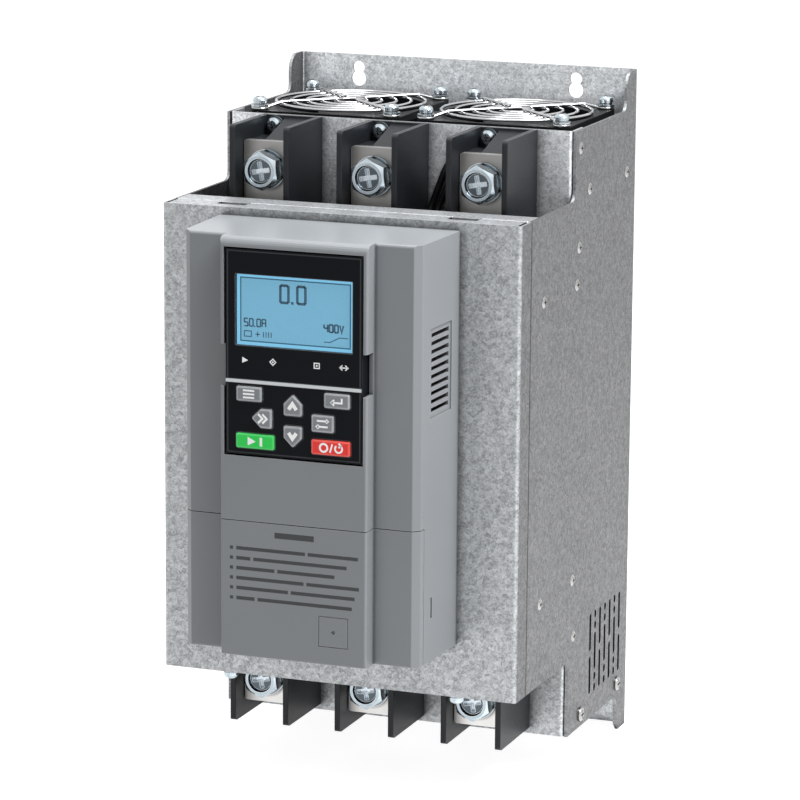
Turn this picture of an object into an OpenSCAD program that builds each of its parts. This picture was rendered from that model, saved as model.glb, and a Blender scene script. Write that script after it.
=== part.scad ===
// Soft starter: a wall-hung galvanised chassis with a finned heat sink, two fans, six bolted
// power terminals between black barriers and a moulded front housing with a pull-out keypad.
// Millimetres. X points right, the front faces -Y and Z points up.
// The origin is the middle of the wall face. A depth is a distance forward from the wall.

/* [Chassis] */
// Width over the side panels
chassis_w = 186; // [180:1:196]
// Thickness of the folded chassis sheet
sheet_t = 1.5; // [1.2:0.1:2]
// Outer radius of the chassis folds
fold_r = 2.4; // [2.2:0.1:3.5]
// Height of the back plate
plate_h = 348; // [342:1:360]
// Height of the rear air duct
duct_h = 309; // [304:1:314]
// Depth of the rear air duct
duct_d = 100; // [97:1:106]
// Height of the front box
box_h = 234.6; // [230:0.2:240]
// Height of the front box's middle above the plate's middle
box_rise = 2.4; // [0:0.2:4]
// Depth of the side panels at the front box
box_d = 166; // [164:1:172]
// Depth of the hanging tabs at the corners of the back plate
tab_d = 18; // [16:1:22]
// Radius of the upper tabs' front corners
tab_r = 8; // [4:1:10]
// Chamfer of the lower tabs' front corners
tab_chamfer = 4; // [2:1:6]
// Radius of the inner corners where the side panels step
step_r = 5; // [3:1:6]

/* [Wall fixing] */
// Distance between the keyholes across the plate
key_pitch = 120; // [100:1:130]
// Drop of the keyholes' narrow ends below the plate's top edge
key_drop = 6.8; // [6:0.1:8]
// Radius of the narrow end, and of the plain lower holes
key_r = 3.3; // [2.6:0.1:3.4]
// Radius of the wide end that passes a screw head
key_entry_r = 4.1; // [3.9:0.1:4.6]
// Distance between the centres of the two ends
key_travel = 5.8; // [5.4:0.1:6.4]

/* [Small screws] */
// Radius of the pan-head screws' shanks
screw_r = 2; // [1.6:0.1:2.2]
// Radius of the countersunk screws' shanks
side_screw_r = 1.5; // [1.2:0.1:1.8]
// Radius of the countersunk heads
csk_r = 2.9; // [2.6:0.1:3.4]
// Rise of the countersunk heads' domes
csk_rise = 0.6; // [0.3:0.1:0.8]
// Radius of the pan heads
pan_r = 3.6; // [3.4:0.1:3.8]
// Height of the pan heads with washers
pan_h = 3; // [2.4:0.1:3.4]
// Height of the pan heads without washers
low_pan_h = 1.6; // [1.2:0.1:2]
// Radius of the captive flat washers
washer_r = 4.4; // [4.1:0.1:4.6]
// Thickness of the captive flat washers
washer_t = 0.8; // [0.5:0.1:1]
// Radius of the captive spring washers
lock_r = 3.3; // [3:0.1:3.4]
// Thickness of the captive spring washers
lock_t = 1.1; // [0.8:0.1:1.3]
// Radial play round a screw
screw_play = 0.1; // [0.05:0.05:0.2]
// Length of a pan-head screw under its head
screw_l = 10; // [8:0.5:11]
// Reach of the countersunk screws past the flanges they hold
screw_out = 1.2; // [0.8:0.1:1.4]

/* [Side vents] */
// Number of vent columns in each side panel
vent_columns = 7; // [3:1:8]
// Distance between vent columns
vent_pitch = 8.1; // [6:0.1:8.4]
// Depth of the rearmost column
vent_first_d = 15.5; // [13:0.5:17]
// Width of a vent slot
vent_w = 3; // [2:0.1:3.4]
// Length of a long vent slot
vent_long = 19.8; // [16:0.2:20]
// Length of a short vent slot
vent_short = 4.1; // [3.6:0.1:4.4]
// Web between the slots of a column with short slots
vent_web = 1.7; // [1.4:0.1:2]
// Web between the two slots of a column of long slots
vent_mid_web = 3; // [2:0.1:4]
// Height of the vents' middle above the duct's lower edge
vent_mid_up = 34.4; // [32:0.2:36]

/* [Terminal plates and trays] */
// Thickness of the inner sheet parts
inner_t = 1.2; // [1:0.1:1.5]
// Play between an inner sheet part and the side panels
slip = 0.2; // [0.1:0.05:0.3]
// Fold radius of the terminal plates
plate_fold_r = 2; // [1.4:0.1:2.4]
// Sideways place of the hole that lets the fan leads through the upper plate
lead_hole_x = 31; // [29:0.5:33]
// Drop of that hole below the duct's top edge
lead_hole_drop = 17; // [15:0.5:19]
// Radius of that hole
lead_hole_r = 4; // [3.5:0.1:4.5]
// Width of the side flanges of the inner sheet parts
flange_w = 16; // [14.5:0.5:18]
// Depth of the plates' screws behind the terminal face
plate_screw_in = 7.8; // [6:0.2:9]
// Height of the upper terminal plate
line_plate_h = 66; // [64:1:70]
// Drop of the upper plate's upper screws below the duct's top edge
line_screw_drop = 9.2; // [8.6:0.2:10]
// Distance between the upper plate's two screws on a side
line_screw_pitch = 49.6; // [47:0.2:49.8]
// Height of the lower terminal plate
load_plate_h = 70; // [68:1:71]
// Rise of the lower plate's screws above the duct's lower edge
load_screw_rise = 51.1; // [48:0.5:54]
// Height of the trays' side flanges
tray_flange_h = 14; // [12:0.5:16]
// Distance of the trays' screws from the trays' seats
tray_screw_in = 6.6; // [6:0.1:7.4]
// Depth of the fan tray's rear screws
fan_tray_screw_d = 15.7; // [12:0.1:18]
// Depth of the bottom tray's rear screws
bottom_tray_screw_d = 18.2; // [14:0.1:20]
// Distance between a tray's two screws
tray_screw_pitch = 61; // [58:0.5:62]

/* [Fans] */
// Width of a fan's square frame
fan_w = 80; // [76:1:82]
// Height of a fan
fan_h = 25; // [24:0.5:27]
// Share of the free width beside the fans that lies between them
fan_share = 0.435; // [0.3:0.005:0.6]
// Depth of the fans' axes
fan_d = 50.5; // [48:0.5:51]
// Distance between a fan's screw holes
fan_hole_pitch = 71.5; // [69:0.1:72]
// Radius of a fan's bore
fan_bore_r = 38; // [36:0.1:38.4]
// Thickness of a fan frame's flanges
fan_flange_t = 3.6; // [3:0.1:5]
// Radius of a rotor's hub
hub_r = 17; // [15:0.5:19]
// Number of fan blades
blade_count = 7; // [5:1:9]
// Turn of a blade from its lower to its upper edge
blade_twist = 38; // [28:1:42]
// Thickness of a blade
blade_t = 1.3; // [1:0.1:1.6]
// Running gap between blade tips and bore
tip_gap = 0.8; // [0.5:0.1:1.2]
// Radius of a fan's shaft
shaft_r = 1.5; // [1.2:0.1:2]
// Radial running clearance of the shaft
shaft_play = 0.05; // [0.03:0.01:0.08]
// Radius of the guards' wire
wire_r = 0.8; // [0.7:0.05:1]
// Number of rings in a guard
ring_count = 5; // [4:1:5]
// Radius of a guard's outer ring
ring_r = 38.3; // [36:0.1:39]
// Distance between the rings
ring_gap = 7.5; // [6.5:0.1:7.8]
// Height of the guards' spokes above the fan frames
guard_rise = 3.2; // [3:0.1:6]

/* [Power terminals] */
// Distance between neighbouring terminals
terminal_pitch = 57; // [54:0.5:58]
// Outer width of a terminal barrier
barrier_w = 31.8; // [31:0.2:34]
// Thickness of a barrier's walls
barrier_wall = 3; // [2.4:0.1:3.2]
// Reach of the barriers in front of the terminal face
barrier_reach = 45; // [43:0.5:48]
// Height of a barrier
barrier_h = 48; // [44:1:49]
// Gap between the lower barriers' ends and the duct's lower edge
load_end_gap = 3; // [1:0.5:5]
// Width of a terminal bar
bar_w = 25; // [22:0.2:25.4]
// Corner radius of a terminal bar
bar_corner = 1.5; // [0.5:0.1:3]
// Thickness of a terminal bar
bar_t = 3; // [2:0.1:4]
// Distance of the bars' front faces in front of the terminal face
bar_front = 33.5; // [32:0.1:35]
// Distance of a bar's end inside its barrier's end
bar_end_in = 8.5; // [7:0.1:10]
// Distance of a terminal bolt inside its barrier's end
bolt_in = 22.6; // [21:0.1:24]
// Radius of the terminal bolts
bolt_r = 5; // [4:0.1:5]
// Width across flats of the terminal bolts
bolt_af = 17; // [15:0.5:17.5]
// Height of the terminal bolts' heads
bolt_head_h = 6.4; // [5:0.1:7]
// Length of the terminal bolts under the head
bolt_l = 24; // [18:0.5:26]
// Thickness of the spring washers
spring_t = 2.1; // [1.6:0.1:2.4]
// Radius of the spring washers
spring_r = 8.8; // [8.2:0.1:9]
// Thickness of the flat washers
flat_t = 2; // [1.5:0.1:2.4]
// Radius of the flat washers
flat_r = 10; // [9.5:0.1:10.6]
// Sideways place of a barrier's mounting screw
barrier_screw_x = -8.2; // [-8.3:0.1:-7.8]
// Distance of a barrier's mounting screw inside its end
barrier_screw_in = 4.6; // [4.2:0.1:5]

/* [Heat sink and power modules] */
// Gap between the heat sink and the flanges beside it
sink_side_gap = 1.6; // [1.5:0.1:3]
// Height of the heat sink
sink_h = 206; // [200:1:210]
// Height of the heat sink's middle above the plate's middle
sink_rise = 8; // [6:0.5:10]
// Thickness of the heat sink's base
sink_base_t = 9; // [7:0.5:12]
// Number of fins
fin_count = 23; // [17:1:25]
// Thickness of a fin
fin_t = 2.2; // [1.8:0.1:2.6]
// Gap between the fins and the back plate
fin_gap = 4; // [3:0.5:8]
// Width of a power module
module_w = 34; // [30:1:38]
// Length of a power module
module_l = 94; // [90:1:98]
// Distance between a power module's two terminals
module_terminals = 52; // [48:1:56]
// Distance between a power module's fixing holes
module_holes = 84; // [82:0.5:85]
// Thickness of a power module's metal base
module_base_t = 3; // [2:0.5:4]
// Radius of the module screws
module_screw_r = 2.5; // [2:0.1:3]
// Width of a current sensor
sensor_w = 44; // [40:1:48]
// Length of a current sensor along its bar
sensor_l = 15; // [12:1:16]

/* [Inner frame and boards] */
// Height of the upper crossbar's screws
upper_bar_z = 77.3; // [75:0.5:79]
// Height of the lower crossbar's screws
lower_bar_z = -73.6; // [-76:0.5:-70]
// Height of a crossbar
crossbar_h = 18; // [14:1:20]
// Depth of the crossbars' fronts
crossbar_d = 153; // [151.5:0.5:154]
// Depth of the crossbars' rear screws
crossbar_screw_d = 95; // [93:0.5:97]
// Distance between a crossbar's two screws on a side
crossbar_screw_pitch = 51; // [48:0.5:52]
// Length of the spacers that carry the trigger board
spacer_l = 6; // [4:0.5:8]
// Radius of those spacers
spacer_r = 3.2; // [2.6:0.1:4]
// Thickness of the circuit boards
board_t = 1.6; // [1:0.1:2]
// Width of the trigger board
trigger_w = 130; // [120:1:150]
// Width of a pulse transformer
transformer_w = 20; // [16:1:24]
// Height of a pulse transformer
transformer_h = 24; // [18:1:28]
// Depth of a pulse transformer
transformer_d = 12; // [8:1:14]
// Width of a plug header
header_w = 30; // [24:1:34]
// Height of a plug header
header_h = 7; // [5:0.5:9]
// Depth of a plug header
header_d = 8; // [6:0.5:10]
// Gap between the control board and the housing's walls
control_gap = 5.5; // [5:0.1:7]
// Share of the housing's depth at which the control board lies
control_share = 0.306; // [0.28:0.002:0.33]
// Distance of the terminal strip's outer ways inside the control board's ends
strip_in = 9; // [8:0.5:12]
// Depth of the front rails
rail_d = 14; // [10:1:16]

/* [Front cover] */
// Thickness of the front cover's sheet
cover_t = 1.2; // [1:0.1:1.5]
// Depth of the front cover's face
cover_d = 181; // [179:0.5:186]
// Outer radius of the front cover's folds
cover_fold_r = 1.8; // [1.6:0.1:2.4]
// Gap between the cover's flanges and the side panels
cover_gap = 0.5; // [0.3:0.1:0.7]
// Relief between neighbouring flanges
cover_relief = 2.6; // [2.4:0.1:4]
// Width of the two hook notches in the top flange
hook_w = 15; // [12:0.5:18]
// Sideways place of the hook notches and of the bottom screws
hook_x = 60; // [56:1:66]
// Depth of a hook notch
hook_d = 7; // [5:0.5:8]
// Reach of the rail's tongue into its notch
tongue_reach = 1.5; // [1:0.5:4]
// Width of the cable opening behind the housing
cable_w = 70; // [50:1:90]
// Height of that opening
cable_h = 40; // [30:1:60]

/* [Housing] */
// Width of the housing at the cover
housing_w = 124; // [120:1:128]
// Height of the housing
housing_h = 204; // [200:1:207]
// Height of the housing's middle above the plate's middle
housing_rise = 13.8; // [12:0.2:14]
// Depth of the raised middle band
band_d = 239.5; // [236:0.5:243]
// Step of the shoulders behind the band
band_rise = 9.5; // [8.5:0.5:10]
// Width of the raised middle band
band_w = 75; // [74.6:0.2:78]
// Draft of the housing's walls, from the cover to the shoulders
draft = 1.9; // [1:0.1:2.4]
// Wall of the housing
wall = 2.5; // [2:0.1:2.8]
// Chamfer of the shoulders' vertical corners
corner_c = 3.2; // [2.4:0.1:4]
// Radius of the edges of that chamfer
corner_r = 0.8; // [0.4:0.1:1]
// Radius of the band's vertical and bottom edges
band_r = 1.2; // [0.8:0.1:1.6]
// Radius of the band's top edge
band_top_r = 4; // [2:0.1:4.4]
// Radius of the shoulders' top and bottom edges
edge_r = 1.5; // [1:0.1:2]
// Height of the seam between the housing and its lower cover
seam_z = -21; // [-24:0.5:-18]
// Reach of the lower cover round the housing's sides, behind the shoulders
split_in = 7.4; // [6:0.2:9]
// Gap along the seam
seam_gap = 0.4; // [0.3:0.1:0.6]
// Height of the lower cover's latches
latch_z = -62; // [-64:0.5:-60]
// Share of the sides' depth at which the latch slots lie
latch_share = 0.66; // [0.64:0.01:0.68]
// Length of the latch slots
latch_l = 10.3; // [9:0.1:11]
// Width of the latch slots
latch_w = 1.6; // [1.2:0.1:2]
// Width of the square knock-out mark in the lower cover
mark_w = 15.4; // [14:0.2:16]
// Sideways place of that mark
mark_x = 20.8; // [18:0.2:22]
// Height of that mark
mark_z = -71.7; // [-73:0.1:-70]
// Number of vent slots in each side of the housing
louvre_count = 10; // [6:1:10]
// Distance between those slots
louvre_pitch = 4; // [3.6:0.1:4.2]
// Height of those slots
louvre_h = 2.3; // [1.5:0.1:2.4]
// Share of the sides' depth that those slots take up
louvre_share = 0.44; // [0.36:0.01:0.45]
// Height of the lowest slot
louvre_z = 34.6; // [32:0.2:36]
// Share of the sides' depth at which the slots' middle lies
louvre_mid_share = 0.465; // [0.44:0.005:0.48]

/* [Keypad] */
// Width of the keypad
keypad_w = 70; // [69.6:0.1:70.2]
// Height of the keypad
keypad_h = 99.6; // [99:0.2:101]
// Height of the keypad's middle
keypad_z = 60.8; // [60:0.2:62]
// Depth of the keypad from its face to its back
keypad_t = 17; // [16.5:0.5:18]
// Step of the keypad's face behind the band
keypad_in = 0.5; // [0.1:0.1:0.9]
// Thickness of the keypad's face
face_t = 2; // [1.6:0.1:2.2]
// Radius of the keypad's front edges
face_edge = 0.8; // [0.4:0.1:1]
// Wall of the keypad's case
case_t = 1.6; // [1.2:0.1:2]
// Gap between the keypad and its pocket
pocket_gap = 0.5; // [0.35:0.05:0.6]
// Height of the finger notches beside the keypad
notch_h = 20.4; // [18:0.2:22]
// Height of the finger notches' middle
notch_z = 54; // [52:0.5:56]
// Depth of the finger notches behind the band's front
notch_d = 8; // [6:0.5:9]
// Height of the dividing bar across the keypad's face
divider_z = 46.9; // [46.6:0.1:47.4]
// Thickness of the dividing bar
divider_t = 1.6; // [1:0.1:2]
// Width of the plug opening in the keypad's back
plug_w = 20; // [16:0.5:24]
// Height of that opening
plug_h = 10; // [8:0.5:14]
// Rise of the dividing bar above the keypad's face
divider_rise = 0.5; // [0.3:0.1:0.8]
// Width of the display window
lcd_w = 59.4; // [56:0.2:62]
// Height of the display window
lcd_h = 34.2; // [32:0.2:35]
// Height of the display window's middle
lcd_z = 81.2; // [80:0.2:82]
// Thickness of the display window
lens_t = 1.4; // [1:0.1:1.6]
// Thickness of the display unit
lcd_t = 7.4; // [6:0.2:7.6]

/* [Keys] */
// Height of a key above the keypad's face
key_rise = 1.3; // [1:0.1:1.6]
// Travel of a key
key_stroke = 0.8; // [0.5:0.1:0.9]
// Gap round a key
key_gap = 0.3; // [0.25:0.05:0.4]
// Corner radius of a key
key_corner = 0.9; // [0.6:0.1:1.2]
// Step round the cap of a key
key_chamfer = 0.5; // [0.3:0.1:0.7]
// Drop of the top row of keys below the keypad's middle
top_row_drop = 19.8; // [19.6:0.1:20.4]
// Drop of the middle row of keys
middle_row_drop = 31.2; // [30.8:0.1:31.6]
// Drop of the bottom row of keys
bottom_row_drop = 42.6; // [42:0.1:43]
// Distance of the top corner keys from the middle
menu_x = 22.4; // [21.5:0.1:24]
// Distance of the start and stop keys from the middle
run_x = 19.3; // [18:0.1:21]
// Distance of the arrow key that points left from the middle
shift_x = 15.9; // [15:0.1:18]
// Distance of the square key from the middle
mode_x = 15.2; // [14.6:0.1:18]
// Gap between the up and down keys
arrow_gap = 5; // [4.6:0.1:5.4]
// Width of the corner keys at the top
menu_w = 12.9; // [12:0.1:13.4]
// Height of the top and bottom keys
menu_h = 7.1; // [6:0.1:7.2]
// Width of the start and stop keys
run_w = 19.5; // [17:0.1:20]
// Width of the arrow keys
arrow_w = 9.2; // [8.4:0.1:9.4]
// Length of the arrow keys
arrow_l = 10.3; // [10:0.1:10.4]
// Width of the square key
mode_w = 11.2; // [10:0.1:11.4]
// Height of the square key
mode_h = 8.2; // [7.6:0.1:8.6]

/* [Hidden] */
$fn = 48;

galvanised = "#a9aeb0";
grey_plastic = "#86898b";
black_plastic = "#1d2024";
zinc = "#c3cdd4";
grey_key = "#7c8388";
tin = "#a6a39c";

half_w = chassis_w / 2;
inner_half = half_w - sheet_t;
flange_half = inner_half - slip;
plate_top = plate_h / 2;
duct_top = duct_h / 2;
duct_bottom = -duct_h / 2;
box_top = box_rise + box_h / 2;
box_bottom = box_rise - box_h / 2;
cross_w = 0.9;
over = 1;

key_z = plate_top - key_drop;

plate_screw_d = duct_d - plate_screw_in;
line_screws = [for (i = [0, 1]) [plate_screw_d, duct_top - line_screw_drop - i * line_screw_pitch]];
load_screws = [[plate_screw_d, duct_bottom + load_screw_rise]];
fan_seat = duct_top - fan_h;
fan_tray_screws = [for (i = [0, 1])
  [fan_tray_screw_d + i * tray_screw_pitch, fan_seat - tray_screw_in]];
bottom_tray_screws = [for (i = [0, 1])
  [bottom_tray_screw_d + i * tray_screw_pitch, duct_bottom + tray_screw_in]];
crossbar_screws = [crossbar_screw_d, crossbar_screw_d + crossbar_screw_pitch];
upper_bar_screws = [for (d = crossbar_screws) [d, upper_bar_z]];
lower_bar_screws = [for (d = crossbar_screws) [d, lower_bar_z]];
csk_places = concat(line_screws, load_screws, fan_tray_screws, upper_bar_screws, lower_bar_screws);

fan_pitch = fan_w + fan_share * 2 * (inner_half - fan_w);
fan_hole_r = screw_r + screw_play;
hub_h = fan_h - 4;
cup_t = 1.5;
motor_base_t = 4;
rotor_low = motor_base_t + 2;
shaft_floor = 1;
loop_r = washer_r - wire_r;
guard_seat = fan_h + 2 * wire_r + 0.05;

face_d = duct_d;
bar_front_d = face_d + bar_front;
bar_back_d = bar_front_d - bar_t;
head_d = bar_front_d + flat_t + spring_t;
terminal_x = [for (i = [-1:1]) i * terminal_pitch];
line_end = duct_top;
load_end = duct_bottom + load_end_gap;

sink_w = 2 * (flange_half - inner_t - sink_side_gap);
sink_front_d = face_d - inner_t;
sink_back_d = sheet_t + fin_gap;
sink_top = sink_rise + sink_h / 2;
sink_bottom = sink_rise - sink_h / 2;
module_h = bar_back_d - sink_front_d;
module_z = box_rise;
bar_inner = 14;

board_d = crossbar_d + spacer_l;
trigger_h = upper_bar_z - lower_bar_z + crossbar_h;
trigger_z = (upper_bar_z + lower_bar_z) / 2;

flange_back_d = box_d + cover_gap;
cover_screw_d = (flange_back_d + cover_d) / 2;

housing_top = housing_rise + housing_h / 2;
housing_bottom = housing_rise - housing_h / 2;
shoulder_d = band_d - band_rise;
side_d = shoulder_d - cover_d;
split_d = shoulder_d - split_in;
latch_d = cover_d + latch_share * side_d;
louvre_l = louvre_share * side_d;
louvre_mid_d = cover_d + louvre_mid_share * side_d;
draft_angle = atan(draft / side_d);
keypad_front = band_d - keypad_in;
keypad_back = keypad_front - keypad_t;
pocket_w = keypad_w + 2 * pocket_gap;
pocket_h = keypad_h + 2 * pocket_gap;
pocket_floor_d = keypad_back - pocket_gap;
pocket_wall = wall - 0.6;
control_d = cover_d + control_share * side_d;
control_w = housing_w - 2 * (wall + control_gap);
control_top = 30;
control_bottom = housing_bottom + wall + 4;
boss_r = 4.5;
boss_x = housing_w / 2 - wall - boss_r + 1;
boss_places = [for (sx = [-1, 1], z = [housing_top - 12, housing_bottom + 12]) [sx * boss_x, z]];

face_back_d = keypad_front - face_t;
key_flange_t = 1.2;
key_flange_w = 0.8;
key_seat = 0.2;
stem_r = 2;
case_inner_w = keypad_w - 2 * case_t;
case_inner_h = keypad_h - 2 * case_t;
keypad_board_d = face_back_d - lcd_t - 0.2 - board_t;
top_row = keypad_z - top_row_drop;
middle_row = keypad_z - middle_row_drop;
bottom_row = keypad_z - bottom_row_drop;
key_places = [
  ["program", [-menu_x, top_row], 0], ["enter", [menu_x, top_row], 0],
  ["up", [0, middle_row + arrow_gap / 2 + arrow_l / 2], 0],
  ["down", [0, middle_row - arrow_gap / 2 - arrow_l / 2], 180],
  ["shift", [-shift_x, middle_row], 90], ["mode", [mode_x, middle_row], 0],
  ["run", [-run_x, bottom_row], 0], ["stop", [run_x, bottom_row], 0]
];
corner_steps = 6;

// Outlines

function flat(p) = [p[0], p[1]];
function unit(v) = v / norm(v);

// Arc that rounds corner p between its neighbours a and b by radius r
function corner_arc(a, p, b, r) =
  r <= 0 ? [p] :
  let (
    u = unit(a - p), v = unit(b - p),
    half = acos(u * v) / 2,
    c = p + unit(u + v) * r / sin(half),
    s = p + u * r / tan(half) - c, e = p + v * r / tan(half) - c,
    start = atan2(s[1], s[0]),
    sweep = atan2(s[0] * e[1] - s[1] * e[0], s * e)
  )
  [for (i = [0:corner_steps])
    let (turn = start + sweep * i / corner_steps)
    c + r * [cos(turn), sin(turn)]];

// Outline through points given as [x, y, corner radius]
function rounded(points) =
  let (n = len(points))
  [for (i = [0:n - 1]) each corner_arc(flat(points[(i + n - 1) % n]), flat(points[i]),
                                       flat(points[(i + 1) % n]), points[i][2])];

function box_points(w, h, r) =
  [[-w / 2, -h / 2, r], [w / 2, -h / 2, r], [w / 2, h / 2, r], [-w / 2, h / 2, r]];

// Arrow pointing up: a square foot with a roof over its upper part
function arrow_points(w, l, r) =
  [[-w / 2, -l / 2, r], [w / 2, -l / 2, r], [w / 2, l / 2 - w / 2, r], [0, l / 2, r],
   [-w / 2, l / 2 - w / 2, r]];

module outline(points) polygon(rounded(points));
module round_box(w, h, r) outline(box_points(w, h, r));
module slot(w, l) {
  square([w, l - w], center = true);
  for (s = [-1, 1]) translate([0, s * (l - w) / 2]) circle(w / 2, $fn = 24);
}

// Extrusions: plan shapes are (x, y), front shapes (x, z) and side shapes (depth, z)

module plan(bottom, top) translate([0, 0, bottom]) linear_extrude(top - bottom) children();
module front_view(from_d, to_d)
  translate([0, -from_d, 0]) rotate([90, 0, 0]) linear_extrude(to_d - from_d) children();
module side_view(left, right)
  translate([right, 0, 0]) rotate([90, 0, -90]) linear_extrude(right - left) children();

// Puts children on both side panels, with local Z pointing outwards
module on_sides(places) {
  for (side = [-1, 1], p = places)
    translate([side * half_w, -p[0], p[1]]) rotate([0, side * 90, 0]) children();
}

// Turns local Z to the front at a depth
module facing_front(x, d, z) translate([x, -d, z]) rotate([90, 0, 0]) children();

module bore(r, bottom, top) translate([0, 0, bottom]) cylinder(r = r, h = top - bottom);

// Cross recess in a screw head whose top is at z = 0
module cross_recess(length, width, depth) {
  for (a = [0, 90])
    rotate(a) translate([-length / 2, -width / 2, -depth]) cube([length, width, depth + over]);
}

// Half section of a rounded head from z = base up, as far as the axis
function head_section(base, h) =
  [[pan_r, base], [pan_r, base + h * 0.45], [pan_r * 0.9, base + h * 0.75], [pan_r * 0.6, base + h],
   [0, base + h]];

// Turned screw from its half section, with a cross recess in the head's top
module turned_screw(section, top, recess_t)
  difference() {
    rotate_extrude() polygon(section);
    translate([0, 0, top]) cross_recess(pan_r * 1.3, cross_w, recess_t);
  }

// Pan-head screw with a captive flat washer and spring washer, seated at z = 0
module washer_screw(length) {
  base = washer_t + lock_t;
  turned_screw(concat(
    [[0, -length], [screw_r, -length], [screw_r, 0], [washer_r, 0], [washer_r, washer_t], [lock_r, washer_t],
     [lock_r, base]], head_section(base, pan_h)), base + pan_h, pan_h * 0.6);
}

// Plain pan-head screw, seated at z = 0
module pan_screw(length)
  turned_screw(concat([[0, -length], [screw_r, -length], [screw_r, 0]], head_section(0, low_pan_h)),
               low_pan_h, low_pan_h * 0.6);

// Countersunk screw with a low dome above z = 0
module side_screw() {
  length = sheet_t + slip + inner_t + screw_out;
  difference() {
    rotate_extrude()
      polygon([
        [0, -length], [side_screw_r, -length], [side_screw_r, -sheet_t], [csk_r, 0],
        [csk_r * 0.8, csk_rise * 0.6], [csk_r * 0.5, csk_rise], [0, csk_rise]
      ]);
    translate([0, 0, csk_rise]) cross_recess(csk_r * 1.1, cross_w, sheet_t * 0.7);
  }
}

// Sheet metal

module chassis_section()
  outline([
    [-half_w, 0, fold_r], [half_w, 0, fold_r], [half_w, -box_d, 0], [inner_half, -box_d, 0],
    [inner_half, -sheet_t, fold_r - sheet_t], [-inner_half, -sheet_t, fold_r - sheet_t],
    [-inner_half, -box_d, 0], [-half_w, -box_d, 0]
  ]);

module chassis_outline()
  outline([
    [0, -plate_top, 0], [tab_d - tab_chamfer, -plate_top, 0], [tab_d, -plate_top + tab_chamfer, 0],
    [tab_d, duct_bottom, step_r], [duct_d, duct_bottom, 0], [duct_d, box_bottom, step_r],
    [box_d, box_bottom, 0], [box_d, box_top, 0], [duct_d, box_top, step_r], [duct_d, duct_top, 0],
    [tab_d, duct_top, step_r], [tab_d, plate_top, tab_r], [0, plate_top, 0]
  ]);

module wall_holes()
  for (sx = [-1, 1]) translate([sx * key_pitch / 2, 0]) {
    translate([0, key_z]) circle(key_r);
    translate([0, key_z - key_travel]) circle(key_entry_r);
    translate([0, -key_z]) circle(key_r);
  }

// Lengths of the slots in one vent column, from the top
function column_slots(i) =
  i % 2 == 0 ? [vent_long, vent_long] : [vent_short, vent_short, vent_long, vent_short, vent_short];
function total(v, n) = n == 0 ? 0 : v[n - 1] + total(v, n - 1);

module side_vents()
  for (i = [0:vent_columns - 1]) {
    slots = column_slots(i);
    web = i % 2 == 0 ? vent_mid_web : vent_web;
    height = total(slots, len(slots)) + web * (len(slots) - 1);
    for (k = [0:len(slots) - 1])
      translate([vent_first_d + i * vent_pitch,
                 duct_bottom + vent_mid_up + height / 2 - total(slots, k) - web * k - slots[k] / 2])
        slot(vent_w, slots[k]);
  }

module chassis()
  color(galvanised) difference() {
    intersection() {
      plan(-plate_top, plate_top) chassis_section();
      side_view(-half_w, half_w) chassis_outline();
    }
    front_view(-over, sheet_t + over) wall_holes();
    side_view(-half_w - over, half_w + over) side_vents();
    on_sides(csk_places)
      translate([0, 0, -sheet_t])
        cylinder(r1 = side_screw_r + screw_play, r2 = csk_r + screw_play, h = sheet_t);
    on_sides(bottom_tray_screws) bore(screw_r + screw_play, -sheet_t - over, over);
  }

// Hole through a flange that lies along a side panel
module side_bore(r) bore(r + screw_play, -sheet_t - inner_t - over, -sheet_t + over / 2);

// Upright sheet between the side panels, with flanges folded back along them
module terminal_plate(bottom, top, screws, end, sign)
  difference() {
    plan(bottom, top)
      outline([
        [-flange_half, flange_w - face_d, 0], [-flange_half, -face_d, plate_fold_r],
        [flange_half, -face_d, plate_fold_r], [flange_half, flange_w - face_d, 0],
        [flange_half - inner_t, flange_w - face_d, 0],
        [flange_half - inner_t, inner_t - face_d, plate_fold_r - inner_t],
        [inner_t - flange_half, inner_t - face_d, plate_fold_r - inner_t],
        [inner_t - flange_half, flange_w - face_d, 0]
      ]);
    on_sides(screws) side_bore(side_screw_r);
    for (x = terminal_x)
      facing_front(x + barrier_screw_x, face_d, end - sign * barrier_screw_in)
        bore(screw_r + screw_play, -inner_t - over, over);
  }

module line_plate()
  color(galvanised) difference() {
    terminal_plate(duct_top - line_plate_h, duct_top, line_screws, line_end, 1);
    facing_front(lead_hole_x, face_d, duct_top - lead_hole_drop) bore(lead_hole_r, -inner_t - over, over);
  }
module load_plate()
  color(galvanised) terminal_plate(duct_bottom, duct_bottom + load_plate_h, load_screws, load_end, -1);

// Level sheet that closes the duct round two fan openings. Local z = 0 is its outer face,
// and the flanges at its sides are folded inwards.
module air_tray(screws, r)
  difference() {
    union() {
      front_view(fold_r + slip, duct_d - flange_w - slip)
        outline([
          [-flange_half, -tray_flange_h, 0], [-flange_half, 0, inner_t], [flange_half, 0, inner_t],
          [flange_half, -tray_flange_h, 0], [flange_half - inner_t, -tray_flange_h, 0],
          [flange_half - inner_t, -inner_t, 0], [inner_t - flange_half, -inner_t, 0],
          [inner_t - flange_half, -tray_flange_h, 0]
        ]);
      front_view(duct_d / 2, fan_d + fan_w / 2)
        translate([0, -inner_t / 2]) square([2 * (flange_half - inner_t - slip), inner_t], center = true);
    }
    for (sx = [-1, 1]) translate([sx * fan_pitch / 2, -fan_d, 0]) {
      bore(fan_bore_r, -inner_t - over, over);
      fan_corners() bore(fan_hole_r, -inner_t - over, over);
    }
    on_sides(screws) side_bore(r);
  }

module fan_tray()
  color(galvanised) translate([0, 0, fan_seat])
    air_tray([for (p = fan_tray_screws) [p[0], p[1] - fan_seat]], side_screw_r);

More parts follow.
